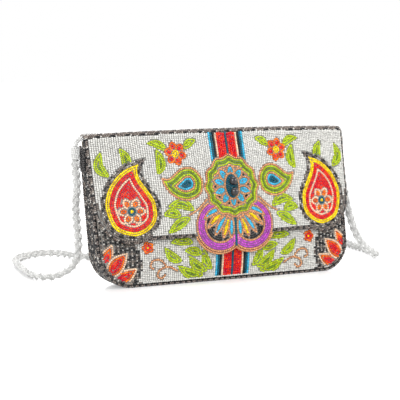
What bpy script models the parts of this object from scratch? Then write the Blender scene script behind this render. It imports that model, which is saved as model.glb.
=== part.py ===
# Beaded sling bag: a domed, stiffened envelope body on a U-shaped gusset, closed by a
# shaped flap with a magnetic snap, on a beaded rope strap that lies on the floor.
# Metres, +Z up, front at -Y. The origin is the middle of the flat base.

import bpy
import bmesh
from math import atan2, cos, exp, log, pi, sin, sqrt
from mathutils import Matrix, Vector

# Driving sizes of the body
BODY_HEIGHT = 0.1256
TOP_HALF_WIDTH = 0.1210
SIDE_TAPER = 0.0042
CORNER_RADIUS = 0.0260
BASE_DEPTH = 0.0255
TOP_DEPTH = 0.0120
LEAN = 0.0225
FRONT_DOME = 0.0138
BACK_DOME = 0.0060
MOUTH_DROP = 0.0118
GUSSET_DROP = 0.0010

# Layers and clearances
CLEARANCE = 0.0003
BEAD_THICKNESS = 0.0020
BOARD_THICKNESS = 0.0008
LINING_THICKNESS = 0.0005
SEAM_RADIUS = 0.0011
MERGE_DISTANCE = 0.00005
MOUTH_RADIUS = 0.0017

# Flap
FLAP_OVERHANG = 0.0005
FLAP_GAP = 0.0026
FLAP_EDGE_HEIGHT = 0.0390
FLAP_EDGE_RADIUS = 0.0016
FLAP_SOFTENING = 0.0012
FOLD_RADIUS = 0.0060
FOLD_DROP = 0.0015
ROLL_RADIUS = 0.0023
CENTRE_LOBE_RADIUS = 0.0240
CENTRE_LOBE_OFFSET = 0.0140
CENTRE_LOBE_BOTTOM = 0.0235
CORNER_LOBE_RADIUS = 0.0290
CORNER_LOBE_BOTTOM = 0.0360

# Magnetic snap
SNAP_HEIGHT = 0.0550
SNAP_RADIUS = 0.0080
SOCKET_THICKNESS = 0.0012
RECESS_RADIUS = 0.0042
RECESS_DEPTH = 0.0008
STUD_BASE_THICKNESS = 0.0005
STUD_RADIUS = 0.0034
STUD_LENGTH = 0.0007
WASHER_RADIUS = 0.0070
CUT_OVERRUN = 0.0030

# Large beads on the flap
BEAD_RADIUS = 0.0036
BEAD_HEIGHT = 0.0795
BEAD_SPACING = 0.0088
BEAD_FLATNESS_SHARE = 0.8

# Strap and what holds it
ROPE_RADIUS = 0.0032
ROPE_STEP = 0.0155
TAB_THICKNESS = 0.0009
TAB_LENGTH = 0.0190
TAB_WIDTH = 0.0080
BINDING_RADIUS = 0.0038
BINDING_LENGTH = 0.0110
BINDING_RISE = 0.0020
BINDING_SLANT = 0.0008

# Where the columns of a panel lie, as shares of its half width
BODY_COLUMN_SHARES = (0.0, 0.17, 0.34, 0.51, 0.67, 0.82, 0.93, 1.0)
BASE_COLUMN_SHARES = (-0.5, 0.0, 0.5)
GUSSET_COLUMN_SHARES = (0.0, 0.5, 1.0)
CORNER_STEPS = 5
WALL_STEPS = 6
LOBE_STEPS = 6
FOLD_STEPS = 3
SPINE_STEPS = 1
CURVE_STEPS = 12
ROUND_SEGMENTS = 32
LOBE_COLUMN_SHARES = (0, 0.15, 0.3, 0.46, 0.62, 0.77, 0.9, 1.04)
STRAIGHT_COLUMN_SHARES = (0.35, 0.7, 1)
# Where the bead panel ends and the fold strip begins, as a share of the fold's quarter turn
FOLD_SEAM_SHARE = 0.16
# A narrow last row keeps a layer's end square to its face
END_ROW_SHARE = 0.02

# How full the front and back domes are up their height
FRONT_PEAK_SHARE = 0.55
FRONT_TOP_LOSS_SHARE = 0.34

# An inner face drawn back along a slanting normal needs this much more room
SLANT_SHARE = 1.12

BASE_HALF_WIDTH = TOP_HALF_WIDTH - SIDE_TAPER
MOUTH_HEIGHT = BODY_HEIGHT - MOUTH_DROP
GUSSET_HEIGHT = MOUTH_HEIGHT - GUSSET_DROP
PANEL_STACK = BEAD_THICKNESS + CLEARANCE + BOARD_THICKNESS + CLEARANCE + LINING_THICKNESS
SEAM_INSET = 2 * SEAM_RADIUS + CLEARANCE
FLAP_INSET = 2 * FLAP_EDGE_RADIUS + CLEARANCE + PANEL_STACK * (SLANT_SHARE - 1)
GUSSET_LINING_INSET = BEAD_THICKNESS + CLEARANCE
BOARD_INSET = GUSSET_LINING_INSET + PANEL_STACK * (SLANT_SHARE - 1)
AXIS_Z = BODY_HEIGHT - FOLD_DROP - PANEL_STACK / 2
BACK_HEIGHT = AXIS_Z - ROLL_RADIUS - CLEARANCE - PANEL_STACK * (SLANT_SHARE - 1) / 2
LEAN_ANGLE = atan2(LEAN, BODY_HEIGHT)
TAPER_ANGLE = atan2(SIDE_TAPER, BODY_HEIGHT)
FLAP_STAND_OFF = (FLAP_GAP + PANEL_STACK) / cos(LEAN_ANGLE)


def share_of_height(z):
    return z / BODY_HEIGHT


def plain_half_width(z):
    return BASE_HALF_WIDTH + SIDE_TAPER * share_of_height(z)


def half_width(z, inset):
    """Half of the body's width at a height, with its round lower corners."""
    if z >= CORNER_RADIUS:
        return plain_half_width(z) - inset
    reach = CORNER_RADIUS - inset
    drop = CORNER_RADIUS - z
    return plain_half_width(z) - CORNER_RADIUS + sqrt(max(reach ** 2 - drop ** 2, 0.0))


def seam_y(z, side):
    """The seam between the gusset and the front (side -1) or the back (side 1)."""
    depth = BASE_DEPTH + (TOP_DEPTH - BASE_DEPTH) * share_of_height(z)
    return LEAN * share_of_height(z) + side * depth / 2


def across_share(x, z):
    return 1 - min(abs(x) / half_width(z, 0), 1) ** 2


def front_y(x, z):
    """The front panel's outer face."""
    rise = share_of_height(z)
    if rise < FRONT_PEAK_SHARE:
        full = 1 - (1 - rise / FRONT_PEAK_SHARE) ** 2.5
    else:
        full = 1 - FRONT_TOP_LOSS_SHARE * ((rise - FRONT_PEAK_SHARE) / (1 - FRONT_PEAK_SHARE)) ** 2
    return seam_y(z, -1) - FRONT_DOME * across_share(x, z) * full


def back_y(x, z):
    """The back panel's outer face, straight along its top where the flap is hinged."""
    rise = min(z / BACK_HEIGHT, 1)
    return seam_y(z, 1) + BACK_DOME * across_share(x, z) * 4 * rise * (1 - rise)


AXIS_Y = back_y(0, BACK_HEIGHT) - PANEL_STACK / 2


def flap_half_width(z):
    return plain_half_width(z) + FLAP_OVERHANG


def flap_edge_z(x, inset):
    """Height of the flap's lower edge: a straight run, a double lobe and two corner lobes."""
    corner_x = flap_half_width(FLAP_EDGE_HEIGHT) - CORNER_LOBE_RADIUS
    centre_z = CENTRE_LOBE_BOTTOM + CENTRE_LOBE_RADIUS
    corner_z = CORNER_LOBE_BOTTOM + CORNER_LOBE_RADIUS
    if abs(x) >= corner_x:
        off = min(abs(x) - corner_x, CORNER_LOBE_RADIUS - inset)
        return corner_z - sqrt((CORNER_LOBE_RADIUS - inset) ** 2 - off ** 2)
    heights = [FLAP_EDGE_HEIGHT + inset]
    for middle_x, middle_z, radius in ((CENTRE_LOBE_OFFSET, centre_z, CENTRE_LOBE_RADIUS),
                                       (corner_x, corner_z, CORNER_LOBE_RADIUS)):
        off = abs(abs(x) - middle_x)
        if off < radius - inset:
            heights.append(middle_z - sqrt((radius - inset) ** 2 - off ** 2))
    lowest = min(heights)
    blend = sum(exp((lowest - height) / FLAP_SOFTENING) for height in heights)
    return lowest - FLAP_SOFTENING * log(blend)


def flap_y(x, z):
    """The flap's outer face where it hangs in front of the body."""
    return front_y(x, z) - FLAP_STAND_OFF


def flap_point(x_share, stage, inset):
    """Stage 0 to 1 runs up the flap's front, 1 to 2 round its fold, 2 to 3 back to the hinge."""
    reach = 1 - inset / flap_half_width(FLAP_EDGE_HEIGHT)
    nominal_x = x_share * reach * flap_half_width(FLAP_EDGE_HEIGHT)
    low = flap_edge_z(nominal_x, inset)
    turn_z = BODY_HEIGHT - FOLD_RADIUS
    if stage <= 1:
        z = low + (turn_z - low) * stage
        x = x_share * reach * flap_half_width(z)
        return Vector((x, flap_y(x, z), z))
    x = x_share * reach * flap_half_width(turn_z)
    turn_y = flap_y(x, turn_z) + FOLD_RADIUS
    if stage <= 2:
        angle = (stage - 1) * pi / 2
        return Vector((x, turn_y - FOLD_RADIUS * cos(angle), turn_z + FOLD_RADIUS * sin(angle)))
    end_y = AXIS_Y - ROLL_RADIUS - CLEARANCE
    along = stage - 2
    return Vector((x, turn_y + (end_y - turn_y) * along, BODY_HEIGHT - FOLD_DROP * along))


def make_material(name, colour, roughness, metallic):
    material = bpy.data.materials.new(name)
    material.use_nodes = True
    material.diffuse_color = (*colour, 1)
    shader = material.node_tree.nodes["Principled BSDF"]
    shader.inputs["Base Color"].default_value = (*colour, 1)
    shader.inputs["Roughness"].default_value = roughness
    shader.inputs["Metallic"].default_value = metallic
    return material


def add_object(name, data, finish):
    piece = bpy.data.objects.new(name, data)
    bag.objects.link(piece)
    data.materials.append(make_material(name, *finish))
    return piece


def add_mesh_object(name, mesh_builder, finish):
    mesh = bpy.data.meshes.new(name)
    mesh_builder.to_mesh(mesh)
    mesh_builder.free()
    piece = add_object(name, mesh, finish)
    mesh.shade_smooth()
    mesh.set_sharp_from_angle(angle=pi / 5)
    return piece


def add_sheet(name, across, along, place, outward, setback, thickness, finish):
    """A shell: a grid shaped by place(), drawn back from the outer face and given its thickness."""
    builder = bmesh.new()
    bmesh.ops.create_grid(builder, x_segments=len(across) - 1, y_segments=len(along) - 1, size=1)
    columns = sorted({round(vertex.co.x, 5) for vertex in builder.verts})
    rows = sorted({round(vertex.co.y, 5) for vertex in builder.verts})
    for vertex in builder.verts:
        column = columns.index(round(vertex.co.x, 5))
        row = rows.index(round(vertex.co.y, 5))
        vertex.co = place(across[column], along[row])
    builder.normal_update()
    facing = sum((face.normal * face.calc_area() for face in builder.faces), Vector())
    if facing.dot(outward) < 0:
        bmesh.ops.reverse_faces(builder, faces=builder.faces)
        builder.normal_update()
    moves = [vertex.normal * vertex.calc_shell_factor() for vertex in builder.verts]
    for vertex, move in zip(builder.verts, moves):
        vertex.co -= move * setback
    piece = add_mesh_object(name, builder, finish)
    shell = piece.modifiers.new("Thickness", "SOLIDIFY")
    shell.thickness = thickness
    shell.offset = -1
    shell.use_even_offset = True
    return piece


def mirrored(shares):
    return [-share for share in reversed(shares) if share > 0] + list(shares)


def body_rows(inset, top):
    """Heights of a panel's rows: close together round the corner, then evenly up to its top."""
    reach = CORNER_RADIUS - inset
    rows = [CORNER_RADIUS - reach * cos(step * pi / 2 / CORNER_STEPS) for step in range(CORNER_STEPS)]
    rise = (top - CORNER_RADIUS) / WALL_STEPS
    return rows + [CORNER_RADIUS + rise * step for step in range(WALL_STEPS + 1)]


def add_body_layer(name, side, inset, top, setback, thickness, finish):
    surface = front_y if side < 0 else back_y

    def place(x_share, z):
        x = x_share * half_width(z, inset)
        return Vector((x, surface(x, z), z))

    columns = mirrored(BODY_COLUMN_SHARES)
    facing = Vector((0, side, 0))
    return add_sheet(name, columns, body_rows(inset, top), place, facing, setback, thickness, finish)


def flap_columns():
    """Columns of the flap as shares of its half width, close together round its lobes."""
    half = flap_half_width(FLAP_EDGE_HEIGHT)
    corner_x = half - CORNER_LOBE_RADIUS
    lobe_end = CENTRE_LOBE_OFFSET + CENTRE_LOBE_RADIUS
    places = [lobe_end * share for share in LOBE_COLUMN_SHARES]
    places += [lobe_end + (corner_x - lobe_end) * share for share in STRAIGHT_COLUMN_SHARES]
    for step in range(1, LOBE_STEPS + 1):
        places.append(corner_x + CORNER_LOBE_RADIUS * sin(step * pi / 2 / LOBE_STEPS))
    return mirrored([place / half for place in places])


def flap_rows(first, last):
    stages = [step / WALL_STEPS for step in range(WALL_STEPS)]
    stages += [1 + step / FOLD_STEPS for step in range(FOLD_STEPS)]
    stages += [2 + step / SPINE_STEPS for step in range(SPINE_STEPS + 1)]
    near = 2 * END_ROW_SHARE
    inner = [stage for stage in stages if first + near < stage < last - near]
    return [first, first + END_ROW_SHARE] + inner + [last - END_ROW_SHARE, last]


def add_flap_layer(name, first, last, setback, thickness, finish):

    def place(x_share, stage):
        return flap_point(x_share, stage, FLAP_INSET)

    facing = Vector((0, -1, 1))
    rows = flap_rows(first, last)
    return add_sheet(name, flap_columns(), rows, place, facing, setback, thickness, finish)


def add_tube(name, points, radius, resolution, finish):
    curve = bpy.data.curves.new(name, "CURVE")
    curve.dimensions = "3D"
    curve.bevel_depth = radius
    curve.bevel_resolution = resolution
    curve.use_fill_caps = True
    spline = curve.splines.new("POLY")
    spline.points.add(len(points) - 1)
    for target, point in zip(spline.points, points):
        target.co = (*point, 1)
    spline.use_smooth = True
    return add_object(name, curve, finish)


def outline_stations(inset, top):
    """The U of the body's sides and base as (x, z) places, from the left top to the right top."""
    right = [(half_width(z, inset), z) for z in body_rows(inset, top)]
    left = [(-x, z) for x, z in reversed(right)]
    base = [(share * right[0][0], inset) for share in BASE_COLUMN_SHARES]
    return left + base + right


def add_seam(name, side, finish):
    """A bead seam on the outer edge of the front or the back panel."""
    surface = front_y if side < 0 else back_y
    points = []
    for x, z in outline_stations(SEAM_RADIUS, MOUTH_HEIGHT):
        points.append(Vector((x, surface(x, z) - side * BEAD_THICKNESS / 2, z)))
    return add_tube(name, points, SEAM_RADIUS, 1, finish)


def add_gusset_layer(name, inset, setback, thickness, finish):
    """The strip between front and back: down one side, along the base and up the other."""
    stations = outline_stations(inset, GUSSET_HEIGHT)

    def place(depth_share, index):
        x, z = stations[index]
        front = seam_y(z, -1) + setback
        back = seam_y(z, 1) - setback
        return Vector((x, front + (back - front) * depth_share, z))

    downward = Vector((0, 0, -1))
    return add_sheet(name, GUSSET_COLUMN_SHARES, range(len(stations)), place, downward, 0, thickness, finish)


def smooth_route(points, step):
    """Points at even steps along a smooth curve through the route's own points."""
    samples = []
    padded = [points[0] * 2 - points[1]] + points + [points[-1] * 2 - points[-2]]
    for before, start, end, after in zip(padded, padded[1:], padded[2:], padded[3:]):
        for count in range(CURVE_STEPS):
            t = count / CURVE_STEPS
            samples.append(0.5 * (2 * start + (end - before) * t
                                  + (2 * before - 5 * start + 4 * end - after) * t ** 2
                                  + (3 * start - before - 3 * end + after) * t ** 3))
    samples.append(points[-1])
    lengths = [0.0]
    for first, second in zip(samples, samples[1:]):
        lengths.append(lengths[-1] + (second - first).length)
    count = round(lengths[-1] / step)
    even = []
    index = 0
    for number in range(count + 1):
        goal = lengths[-1] * number / count
        while index < len(lengths) - 2 and lengths[index + 1] < goal:
            index += 1
        share = (goal - lengths[index]) / (lengths[index + 1] - lengths[index])
        even.append(samples[index].lerp(samples[index + 1], share))
    return even


def add_turned(name, profile, finish):
    """A turned piece: a profile of (radius, height) places, from the top down the outer side."""
    builder = bmesh.new()
    corners = [builder.verts.new((radius, 0, height)) for radius, height in profile]
    for first, second in zip(corners, corners[1:]):
        builder.edges.new((first, second))
    piece = add_mesh_object(name, builder, finish)
    turn = piece.modifiers.new("Turn", "SCREW")
    turn.steps = ROUND_SEGMENTS
    turn.render_steps = ROUND_SEGMENTS
    turn.use_merge_vertices = True
    turn.merge_threshold = MERGE_DISTANCE
    return piece


def add_disc(name, radius, thickness, finish):
    builder = bmesh.new()
    bmesh.ops.create_cone(builder, cap_ends=True, segments=ROUND_SEGMENTS,
                          radius1=radius, radius2=radius, depth=thickness)
    return add_mesh_object(name, builder, finish)


def snap_frame(distance):
    """A matrix on the snap's axis, so far out from the front panel's face, its Z pointing out."""
    above = front_y(0, SNAP_HEIGHT + SNAP_RADIUS)
    below = front_y(0, SNAP_HEIGHT - SNAP_RADIUS)
    tilt = pi / 2 - atan2(above - below, 2 * SNAP_RADIUS)
    place = Matrix.Translation((0, front_y(0, SNAP_HEIGHT), SNAP_HEIGHT))
    return place @ Matrix.Rotation(tilt, 4, "X") @ Matrix.Translation((0, 0, distance))


def cut_round_hole(piece, matrix, radius):
    """A round hole through a board, where the snap's washer sits."""
    builder = bmesh.new()
    depth = 2 * CUT_OVERRUN
    bmesh.ops.create_cone(builder, cap_ends=True, segments=ROUND_SEGMENTS,
                          radius1=radius, radius2=radius, depth=depth)
    mesh = bpy.data.meshes.new(piece.name + "_cutter")
    builder.to_mesh(mesh)
    builder.free()
    cutter = bpy.data.objects.new(piece.name + "_cutter", mesh)
    cutter.matrix_world = matrix
    cutter.hide_render = True
    cutter.display_type = "WIRE"
    cutters.objects.link(cutter)
    hole = piece.modifiers.new("Washer hole", "BOOLEAN")
    hole.operation = "DIFFERENCE"
    hole.solver = "EXACT"
    hole.object = cutter


for old_object in list(bpy.data.objects):
    bpy.data.objects.remove(old_object, do_unlink=True)

bag = bpy.data.collections.new("beaded_sling_bag")
bpy.context.scene.collection.children.link(bag)
cutters = bpy.data.collections.new("cutters")
bpy.context.scene.collection.children.link(cutters)

WHITE_BEADS = ((0.78, 0.77, 0.72), 0.25, 0.1)
DARK_BEADS = ((0.06, 0.06, 0.07), 0.25, 0.6)
CLEAR_BEADS = ((0.82, 0.82, 0.80), 0.2, 0.1)
SATIN = ((0.10, 0.10, 0.11), 0.45, 0.0)
BOARD = ((0.55, 0.50, 0.42), 0.8, 0.0)
STEEL = ((0.70, 0.69, 0.66), 0.3, 1.0)

# Front and back: a bead panel, a stiffening board and a satin lining each
BOARD_SETBACK = BEAD_THICKNESS + CLEARANCE
LINING_SETBACK = BOARD_SETBACK + BOARD_THICKNESS + CLEARANCE
add_body_layer("front_panel", -1, SEAM_INSET, MOUTH_HEIGHT, 0, BEAD_THICKNESS, WHITE_BEADS)
front_board = add_body_layer("front_board", -1, BOARD_INSET, MOUTH_HEIGHT, BOARD_SETBACK,
                             BOARD_THICKNESS, BOARD)
add_body_layer("front_lining", -1, BOARD_INSET, MOUTH_HEIGHT, LINING_SETBACK, LINING_THICKNESS, SATIN)
add_body_layer("back_panel", 1, SEAM_INSET, BACK_HEIGHT, 0, BEAD_THICKNESS, WHITE_BEADS)
add_body_layer("back_board", 1, BOARD_INSET, BACK_HEIGHT, BOARD_SETBACK, BOARD_THICKNESS, BOARD)
add_body_layer("back_lining", 1, BOARD_INSET, BACK_HEIGHT, LINING_SETBACK, LINING_THICKNESS, SATIN)

# Gusset, its lining, and the bead seams on both sides of it
GUSSET_SETBACK = BEAD_THICKNESS * SLANT_SHARE + CLEARANCE
GUSSET_LINING_SETBACK = PANEL_STACK * SLANT_SHARE + CLEARANCE
add_gusset_layer("gusset", 0, GUSSET_SETBACK, BEAD_THICKNESS, DARK_BEADS)
add_gusset_layer("gusset_lining", GUSSET_LINING_INSET, GUSSET_LINING_SETBACK, LINING_THICKNESS, SATIN)
add_seam("front_seam", -1, DARK_BEADS)
add_seam("back_seam", 1, DARK_BEADS)

# Bead edging over the front's top edge
mouth_z = MOUTH_HEIGHT + CLEARANCE + MOUTH_RADIUS
mouth_reach = half_width(mouth_z, SEAM_INSET)
mouth_points = []
for column in mirrored(BODY_COLUMN_SHARES):
    mouth_x = column * mouth_reach
    mouth_points.append(Vector((mouth_x, front_y(mouth_x, mouth_z) + PANEL_STACK / 2, mouth_z)))
add_tube("mouth_edging", mouth_points, MOUTH_RADIUS, 2, DARK_BEADS)

# Rolled bead edging that the flap turns about, along the back's top edge
roll_reach = half_width(AXIS_Z, SEAM_INSET)
roll_points = [Vector((-roll_reach, AXIS_Y, AXIS_Z)), Vector((roll_reach, AXIS_Y, AXIS_Z))]
add_tube("fold_roll", roll_points, ROLL_RADIUS, 4, DARK_BEADS)

# Flap: bead panel, bead fold strip, board and lining, turning about the roll
hinge = bpy.data.objects.new("flap_hinge_axis", None)
hinge.location = (0, AXIS_Y, AXIS_Z)
bag.objects.link(hinge)
seam_stage = 1 + FOLD_SEAM_SHARE
seam_gap_stage = CLEARANCE / ((FOLD_RADIUS - BEAD_THICKNESS) * pi / 2)
flap_board = add_flap_layer("flap_board", 0, 3, BOARD_SETBACK, BOARD_THICKNESS, BOARD)
flap_pieces = [
    add_flap_layer("flap_panel", 0, seam_stage, 0, BEAD_THICKNESS, WHITE_BEADS),
    add_flap_layer("fold_strip", seam_stage + seam_gap_stage, 3, 0, BEAD_THICKNESS, DARK_BEADS),
    flap_board,
    add_flap_layer("flap_lining", 0, 3, LINING_SETBACK, LINING_THICKNESS, SATIN),
]

# Bead edging round the flap, from the hinge down one side, along the lobes and up the other
edge_stages = list(reversed(flap_rows(0, 3)))
edge_places = [(-1, stage) for stage in edge_stages]
edge_places += [(column, 0) for column in flap_columns()[1:-1]]
edge_places += [(1, stage) for stage in reversed(edge_stages)]
edge_points = []
for column, stage in edge_places:
    outer = flap_point(column, stage, FLAP_EDGE_RADIUS)
    if stage <= 1:
        inward = Vector((0, 1, 0))
    elif stage <= 2:
        turned = (stage - 1) * pi / 2
        inward = Vector((0, cos(turned), -sin(turned)))
    else:
        inward = Vector((0, 0, -1))
    edge_points.append(outer + inward * PANEL_STACK / 2)
flap_pieces.append(add_tube("flap_edging", edge_points, FLAP_EDGE_RADIUS, 1, DARK_BEADS))

# Magnetic snap: socket on the front, stud on the flap, a washer in each board
socket_profile = [
    (0, SOCKET_THICKNESS - RECESS_DEPTH),
    (RECESS_RADIUS, SOCKET_THICKNESS - RECESS_DEPTH),
    (RECESS_RADIUS, SOCKET_THICKNESS),
    (SNAP_RADIUS, SOCKET_THICKNESS),
    (SNAP_RADIUS, 0),
    (0, 0),
]
socket = add_turned("snap_socket", socket_profile, STEEL)
socket.matrix_world = snap_frame(CLEARANCE)
front_washer = add_disc("front_washer", WASHER_RADIUS, BOARD_THICKNESS, STEEL)
front_washer.matrix_world = snap_frame(-BOARD_SETBACK - BOARD_THICKNESS / 2)
cut_round_hole(front_board, front_washer.matrix_world, WASHER_RADIUS + CLEARANCE)

stud_profile = [
    (0, STUD_BASE_THICKNESS),
    (SNAP_RADIUS, STUD_BASE_THICKNESS),
    (SNAP_RADIUS, 0),
    (STUD_RADIUS, 0),
    (STUD_RADIUS, -STUD_LENGTH),
    (0, -STUD_LENGTH),
]
stud = add_turned("snap_stud", stud_profile, STEEL)
stud.matrix_world = snap_frame(FLAP_GAP - CLEARANCE - STUD_BASE_THICKNESS)
flap_washer = add_disc("flap_washer", WASHER_RADIUS, BOARD_THICKNESS, STEEL)
flap_washer.matrix_world = snap_frame(FLAP_GAP + PANEL_STACK - BOARD_SETBACK - BOARD_THICKNESS / 2)
cut_round_hole(flap_board, flap_washer.matrix_world, WASHER_RADIUS + CLEARANCE)
flap_pieces += [stud, flap_washer]

# Two large round beads, one above the other on the flap
for name, side in (("upper_bead", 1), ("lower_bead", -1)):
    builder = bmesh.new()
    bmesh.ops.create_uvsphere(builder, u_segments=16, v_segments=10, radius=BEAD_RADIUS)
    flat = Matrix.Diagonal((1, BEAD_FLATNESS_SHARE, 1, 1))
    bmesh.ops.transform(builder, matrix=flat, verts=builder.verts)
    bead = add_mesh_object(name, builder, DARK_BEADS)
    bead_z = BEAD_HEIGHT + side * BEAD_SPACING / 2
    stand_off = BEAD_RADIUS * BEAD_FLATNESS_SHARE + CLEARANCE
    bead.location = (0, flap_y(0, bead_z) - stand_off, bead_z)
    flap_pieces.append(bead)

for piece in flap_pieces:
    piece.parent = hinge
    piece.matrix_parent_inverse = Matrix.Translation((0, -AXIS_Y, -AXIS_Z))

# Sewn tabs on the gusset's top ends, and the bindings round the rope's ends
tab_z = GUSSET_HEIGHT - TAB_LENGTH / 2
tab_x = half_width(tab_z, 0) + CLEARANCE + TAB_THICKNESS / 2
binding_x = half_width(GUSSET_HEIGHT, 0) + 2 * CLEARANCE + TAB_THICKNESS + BINDING_RADIUS
rope_ends = []
for name, side in (("left", -1), ("right", 1)):
    builder = bmesh.new()
    bmesh.ops.create_cube(builder, size=1)
    size = Matrix.Diagonal((TAB_THICKNESS, TAB_WIDTH, TAB_LENGTH, 1))
    bmesh.ops.transform(builder, matrix=size, verts=builder.verts)
    tab = add_mesh_object(name + "_tab", builder, DARK_BEADS)
    tab.location = (side * tab_x, LEAN * share_of_height(tab_z), tab_z)
    tab.rotation_euler = (-LEAN_ANGLE, side * TAPER_ANGLE, 0)
    top_z = GUSSET_HEIGHT + BINDING_RISE
    top = Vector((side * binding_x, LEAN * share_of_height(top_z), top_z))
    direction = Vector((0, BINDING_SLANT, -BINDING_LENGTH)).normalized()
    low = top + direction * BINDING_LENGTH
    add_tube(name + "_binding", [top, low], BINDING_RADIUS, 3, CLEAR_BEADS)
    rope_ends.append((low + direction * CLEARANCE, direction))

# The rope strap: from the left binding down to the floor, round behind the bag, and up
# to the right binding. The route's points are chosen by eye, at the rope's full length.
floor_z = ROPE_RADIUS + CLEARANCE
left_route = [
    (-0.1244, 0.0225, 0.0850),
    (-0.1240, 0.0240, 0.0650),
    (-0.1240, 0.0250, 0.0450),
    (-0.1228, 0.0270, 0.0270),
    (-0.1232, 0.0330, 0.0160),
    (-0.1262, 0.0410, 0.0090),
    (-0.1320, 0.0475, 0.0048),
    (-0.1400, 0.0500, floor_z),
    (-0.1465, 0.0580, floor_z),
    (-0.1485, 0.0720, floor_z),
    (-0.1455, 0.0980, floor_z),
    (-0.1410, 0.1260, floor_z),
    (-0.1340, 0.1500, floor_z),
    (-0.1240, 0.1640, floor_z),
    (-0.1120, 0.1720, floor_z),
    (-0.0980, 0.1750, floor_z),
    (-0.0870, 0.1700, floor_z),
    (-0.0810, 0.1580, floor_z),
    (-0.0770, 0.1450, floor_z),
    (-0.0660, 0.1350, floor_z),
]
behind_route = [
    (-0.0400, 0.1340, floor_z),
    (0.0000, 0.1540, floor_z),
    (0.0350, 0.1920, floor_z),
    (0.0560, 0.2400, floor_z),
    (0.0950, 0.2720, floor_z),
    (0.1400, 0.2640, floor_z),
    (0.1730, 0.2260, floor_z),
    (0.1880, 0.1720, floor_z),
    (0.1880, 0.1250, floor_z),
]
right_route = [
    (0.1830, 0.0900, floor_z),
    (0.1800, 0.0620, floor_z),
    (0.1750, 0.0380, floor_z),
    (0.1660, 0.0220, 0.0050),
    (0.1550, 0.0170, 0.0110),
    (0.1460, 0.0145, 0.0210),
    (0.1400, 0.0140, 0.0330),
    (0.1355, 0.0150, 0.0470),
    (0.1335, 0.0165, 0.0620),
    (0.1300, 0.0185, 0.0800),
]
left_end, left_direction = rope_ends[0]
right_end, right_direction = rope_ends[1]
route = [left_end + left_direction * 2 * ROPE_RADIUS]
route += [Vector(point) for point in left_route + behind_route + right_route]
route += [right_end + right_direction * 2 * ROPE_RADIUS]
rope_points = [left_end] + smooth_route(route, ROPE_STEP) + [right_end]
add_tube("strap_rope", rope_points, ROPE_RADIUS, 2, CLEAR_BEADS)

bpy.context.view_layer.update()
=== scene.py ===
import bmesh
import bpy
import numpy as np
from math import atan2, cos, exp, log, pi, radians, sin, sqrt
from mathutils import Matrix, Vector, noise


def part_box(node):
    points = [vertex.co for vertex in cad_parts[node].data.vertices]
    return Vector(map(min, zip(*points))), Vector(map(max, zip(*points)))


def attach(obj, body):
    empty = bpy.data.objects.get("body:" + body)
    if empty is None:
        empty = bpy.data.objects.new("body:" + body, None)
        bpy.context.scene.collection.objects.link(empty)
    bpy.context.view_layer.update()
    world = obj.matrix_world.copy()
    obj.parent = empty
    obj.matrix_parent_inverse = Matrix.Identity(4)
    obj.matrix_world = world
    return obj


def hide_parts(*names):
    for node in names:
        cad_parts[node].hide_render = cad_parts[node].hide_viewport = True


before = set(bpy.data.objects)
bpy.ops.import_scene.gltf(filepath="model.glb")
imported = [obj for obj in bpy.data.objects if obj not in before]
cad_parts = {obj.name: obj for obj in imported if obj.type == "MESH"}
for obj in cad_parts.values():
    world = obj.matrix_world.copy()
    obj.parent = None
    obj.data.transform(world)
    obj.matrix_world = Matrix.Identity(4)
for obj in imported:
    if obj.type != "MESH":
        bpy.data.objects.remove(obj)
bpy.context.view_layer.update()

# The view: a low studio camera in front of the bag and to its left, a long lens and a small
# shift, as the photograph is framed.
VIEW_TURN = radians(-27)
VIEW_RISE = radians(6.8)
VIEW_DISTANCE = 1.2
VIEW_AIM = Vector((0, 0, 0.065))
LENS_MM = 127.8
FRAME_SHIFT_X = -0.0615
FRAME_SHIFT_Y = 0.003

towards_camera = Vector((sin(VIEW_TURN) * cos(VIEW_RISE), -cos(VIEW_TURN) * cos(VIEW_RISE),
                         sin(VIEW_RISE)))
camera_data = bpy.data.cameras.new("view")
camera_data.lens = LENS_MM
camera_data.shift_x = FRAME_SHIFT_X
camera_data.shift_y = FRAME_SHIFT_Y
camera = bpy.data.objects.new("view", camera_data)
camera.location = VIEW_AIM + towards_camera * VIEW_DISTANCE
camera.rotation_euler = towards_camera.to_track_quat("Z", "Y").to_euler()
bpy.context.scene.collection.objects.link(camera)
bpy.context.scene.camera = camera
bpy.context.scene.view_settings.view_transform = "Standard"

# The studio: a pale floor and soft lamps on both sides, above and behind. The floor and the
# world show white to the camera, and the lamps stay at a plain level.
FLOOR_SIZE = 9.0
FLOOR_COLOUR = (0.90, 0.90, 0.90)
FLOOR_ROUGHNESS = 0.22
FLOOR_GLOW = 0.34
WORLD_LEVEL = 0.55
WHITE_LIGHT = (1, 1, 1, 1)
LAMPS = (
    ("key", (-0.75, -1.05, 0.60), 0.70, 9.5),
    ("side", (0.95, -0.85, 0.50), 0.80, 6.5),
    ("top", (0.10, 0.05, 1.30), 1.00, 5.5),
    ("back", (0.35, 1.25, 0.75), 0.90, 10.0),
)


def display(red, green, blue):
    """A colour as it looks on a screen, 0 to 255, as the linear colour that a shader takes."""
    return tuple((level / 255) ** 2.2 for level in (red, green, blue))


def set_inputs(tree, node, inputs):
    """Gives each input of a node its value, or joins it to the socket given for it."""
    for key, value in inputs.items():
        if isinstance(value, bpy.types.NodeSocket):
            tree.links.new(value, node.inputs[key])
        else:
            node.inputs[key].default_value = value


def add_node(tree, kind, inputs, **settings):
    node = tree.nodes.new("ShaderNode" + kind)
    for key, value in settings.items():
        setattr(node, key, value)
    set_inputs(tree, node, inputs)
    return node


def shade(tree, inputs):
    """Sets or joins a material's shader inputs."""
    set_inputs(tree, tree.nodes["Principled BSDF"], inputs)


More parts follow.
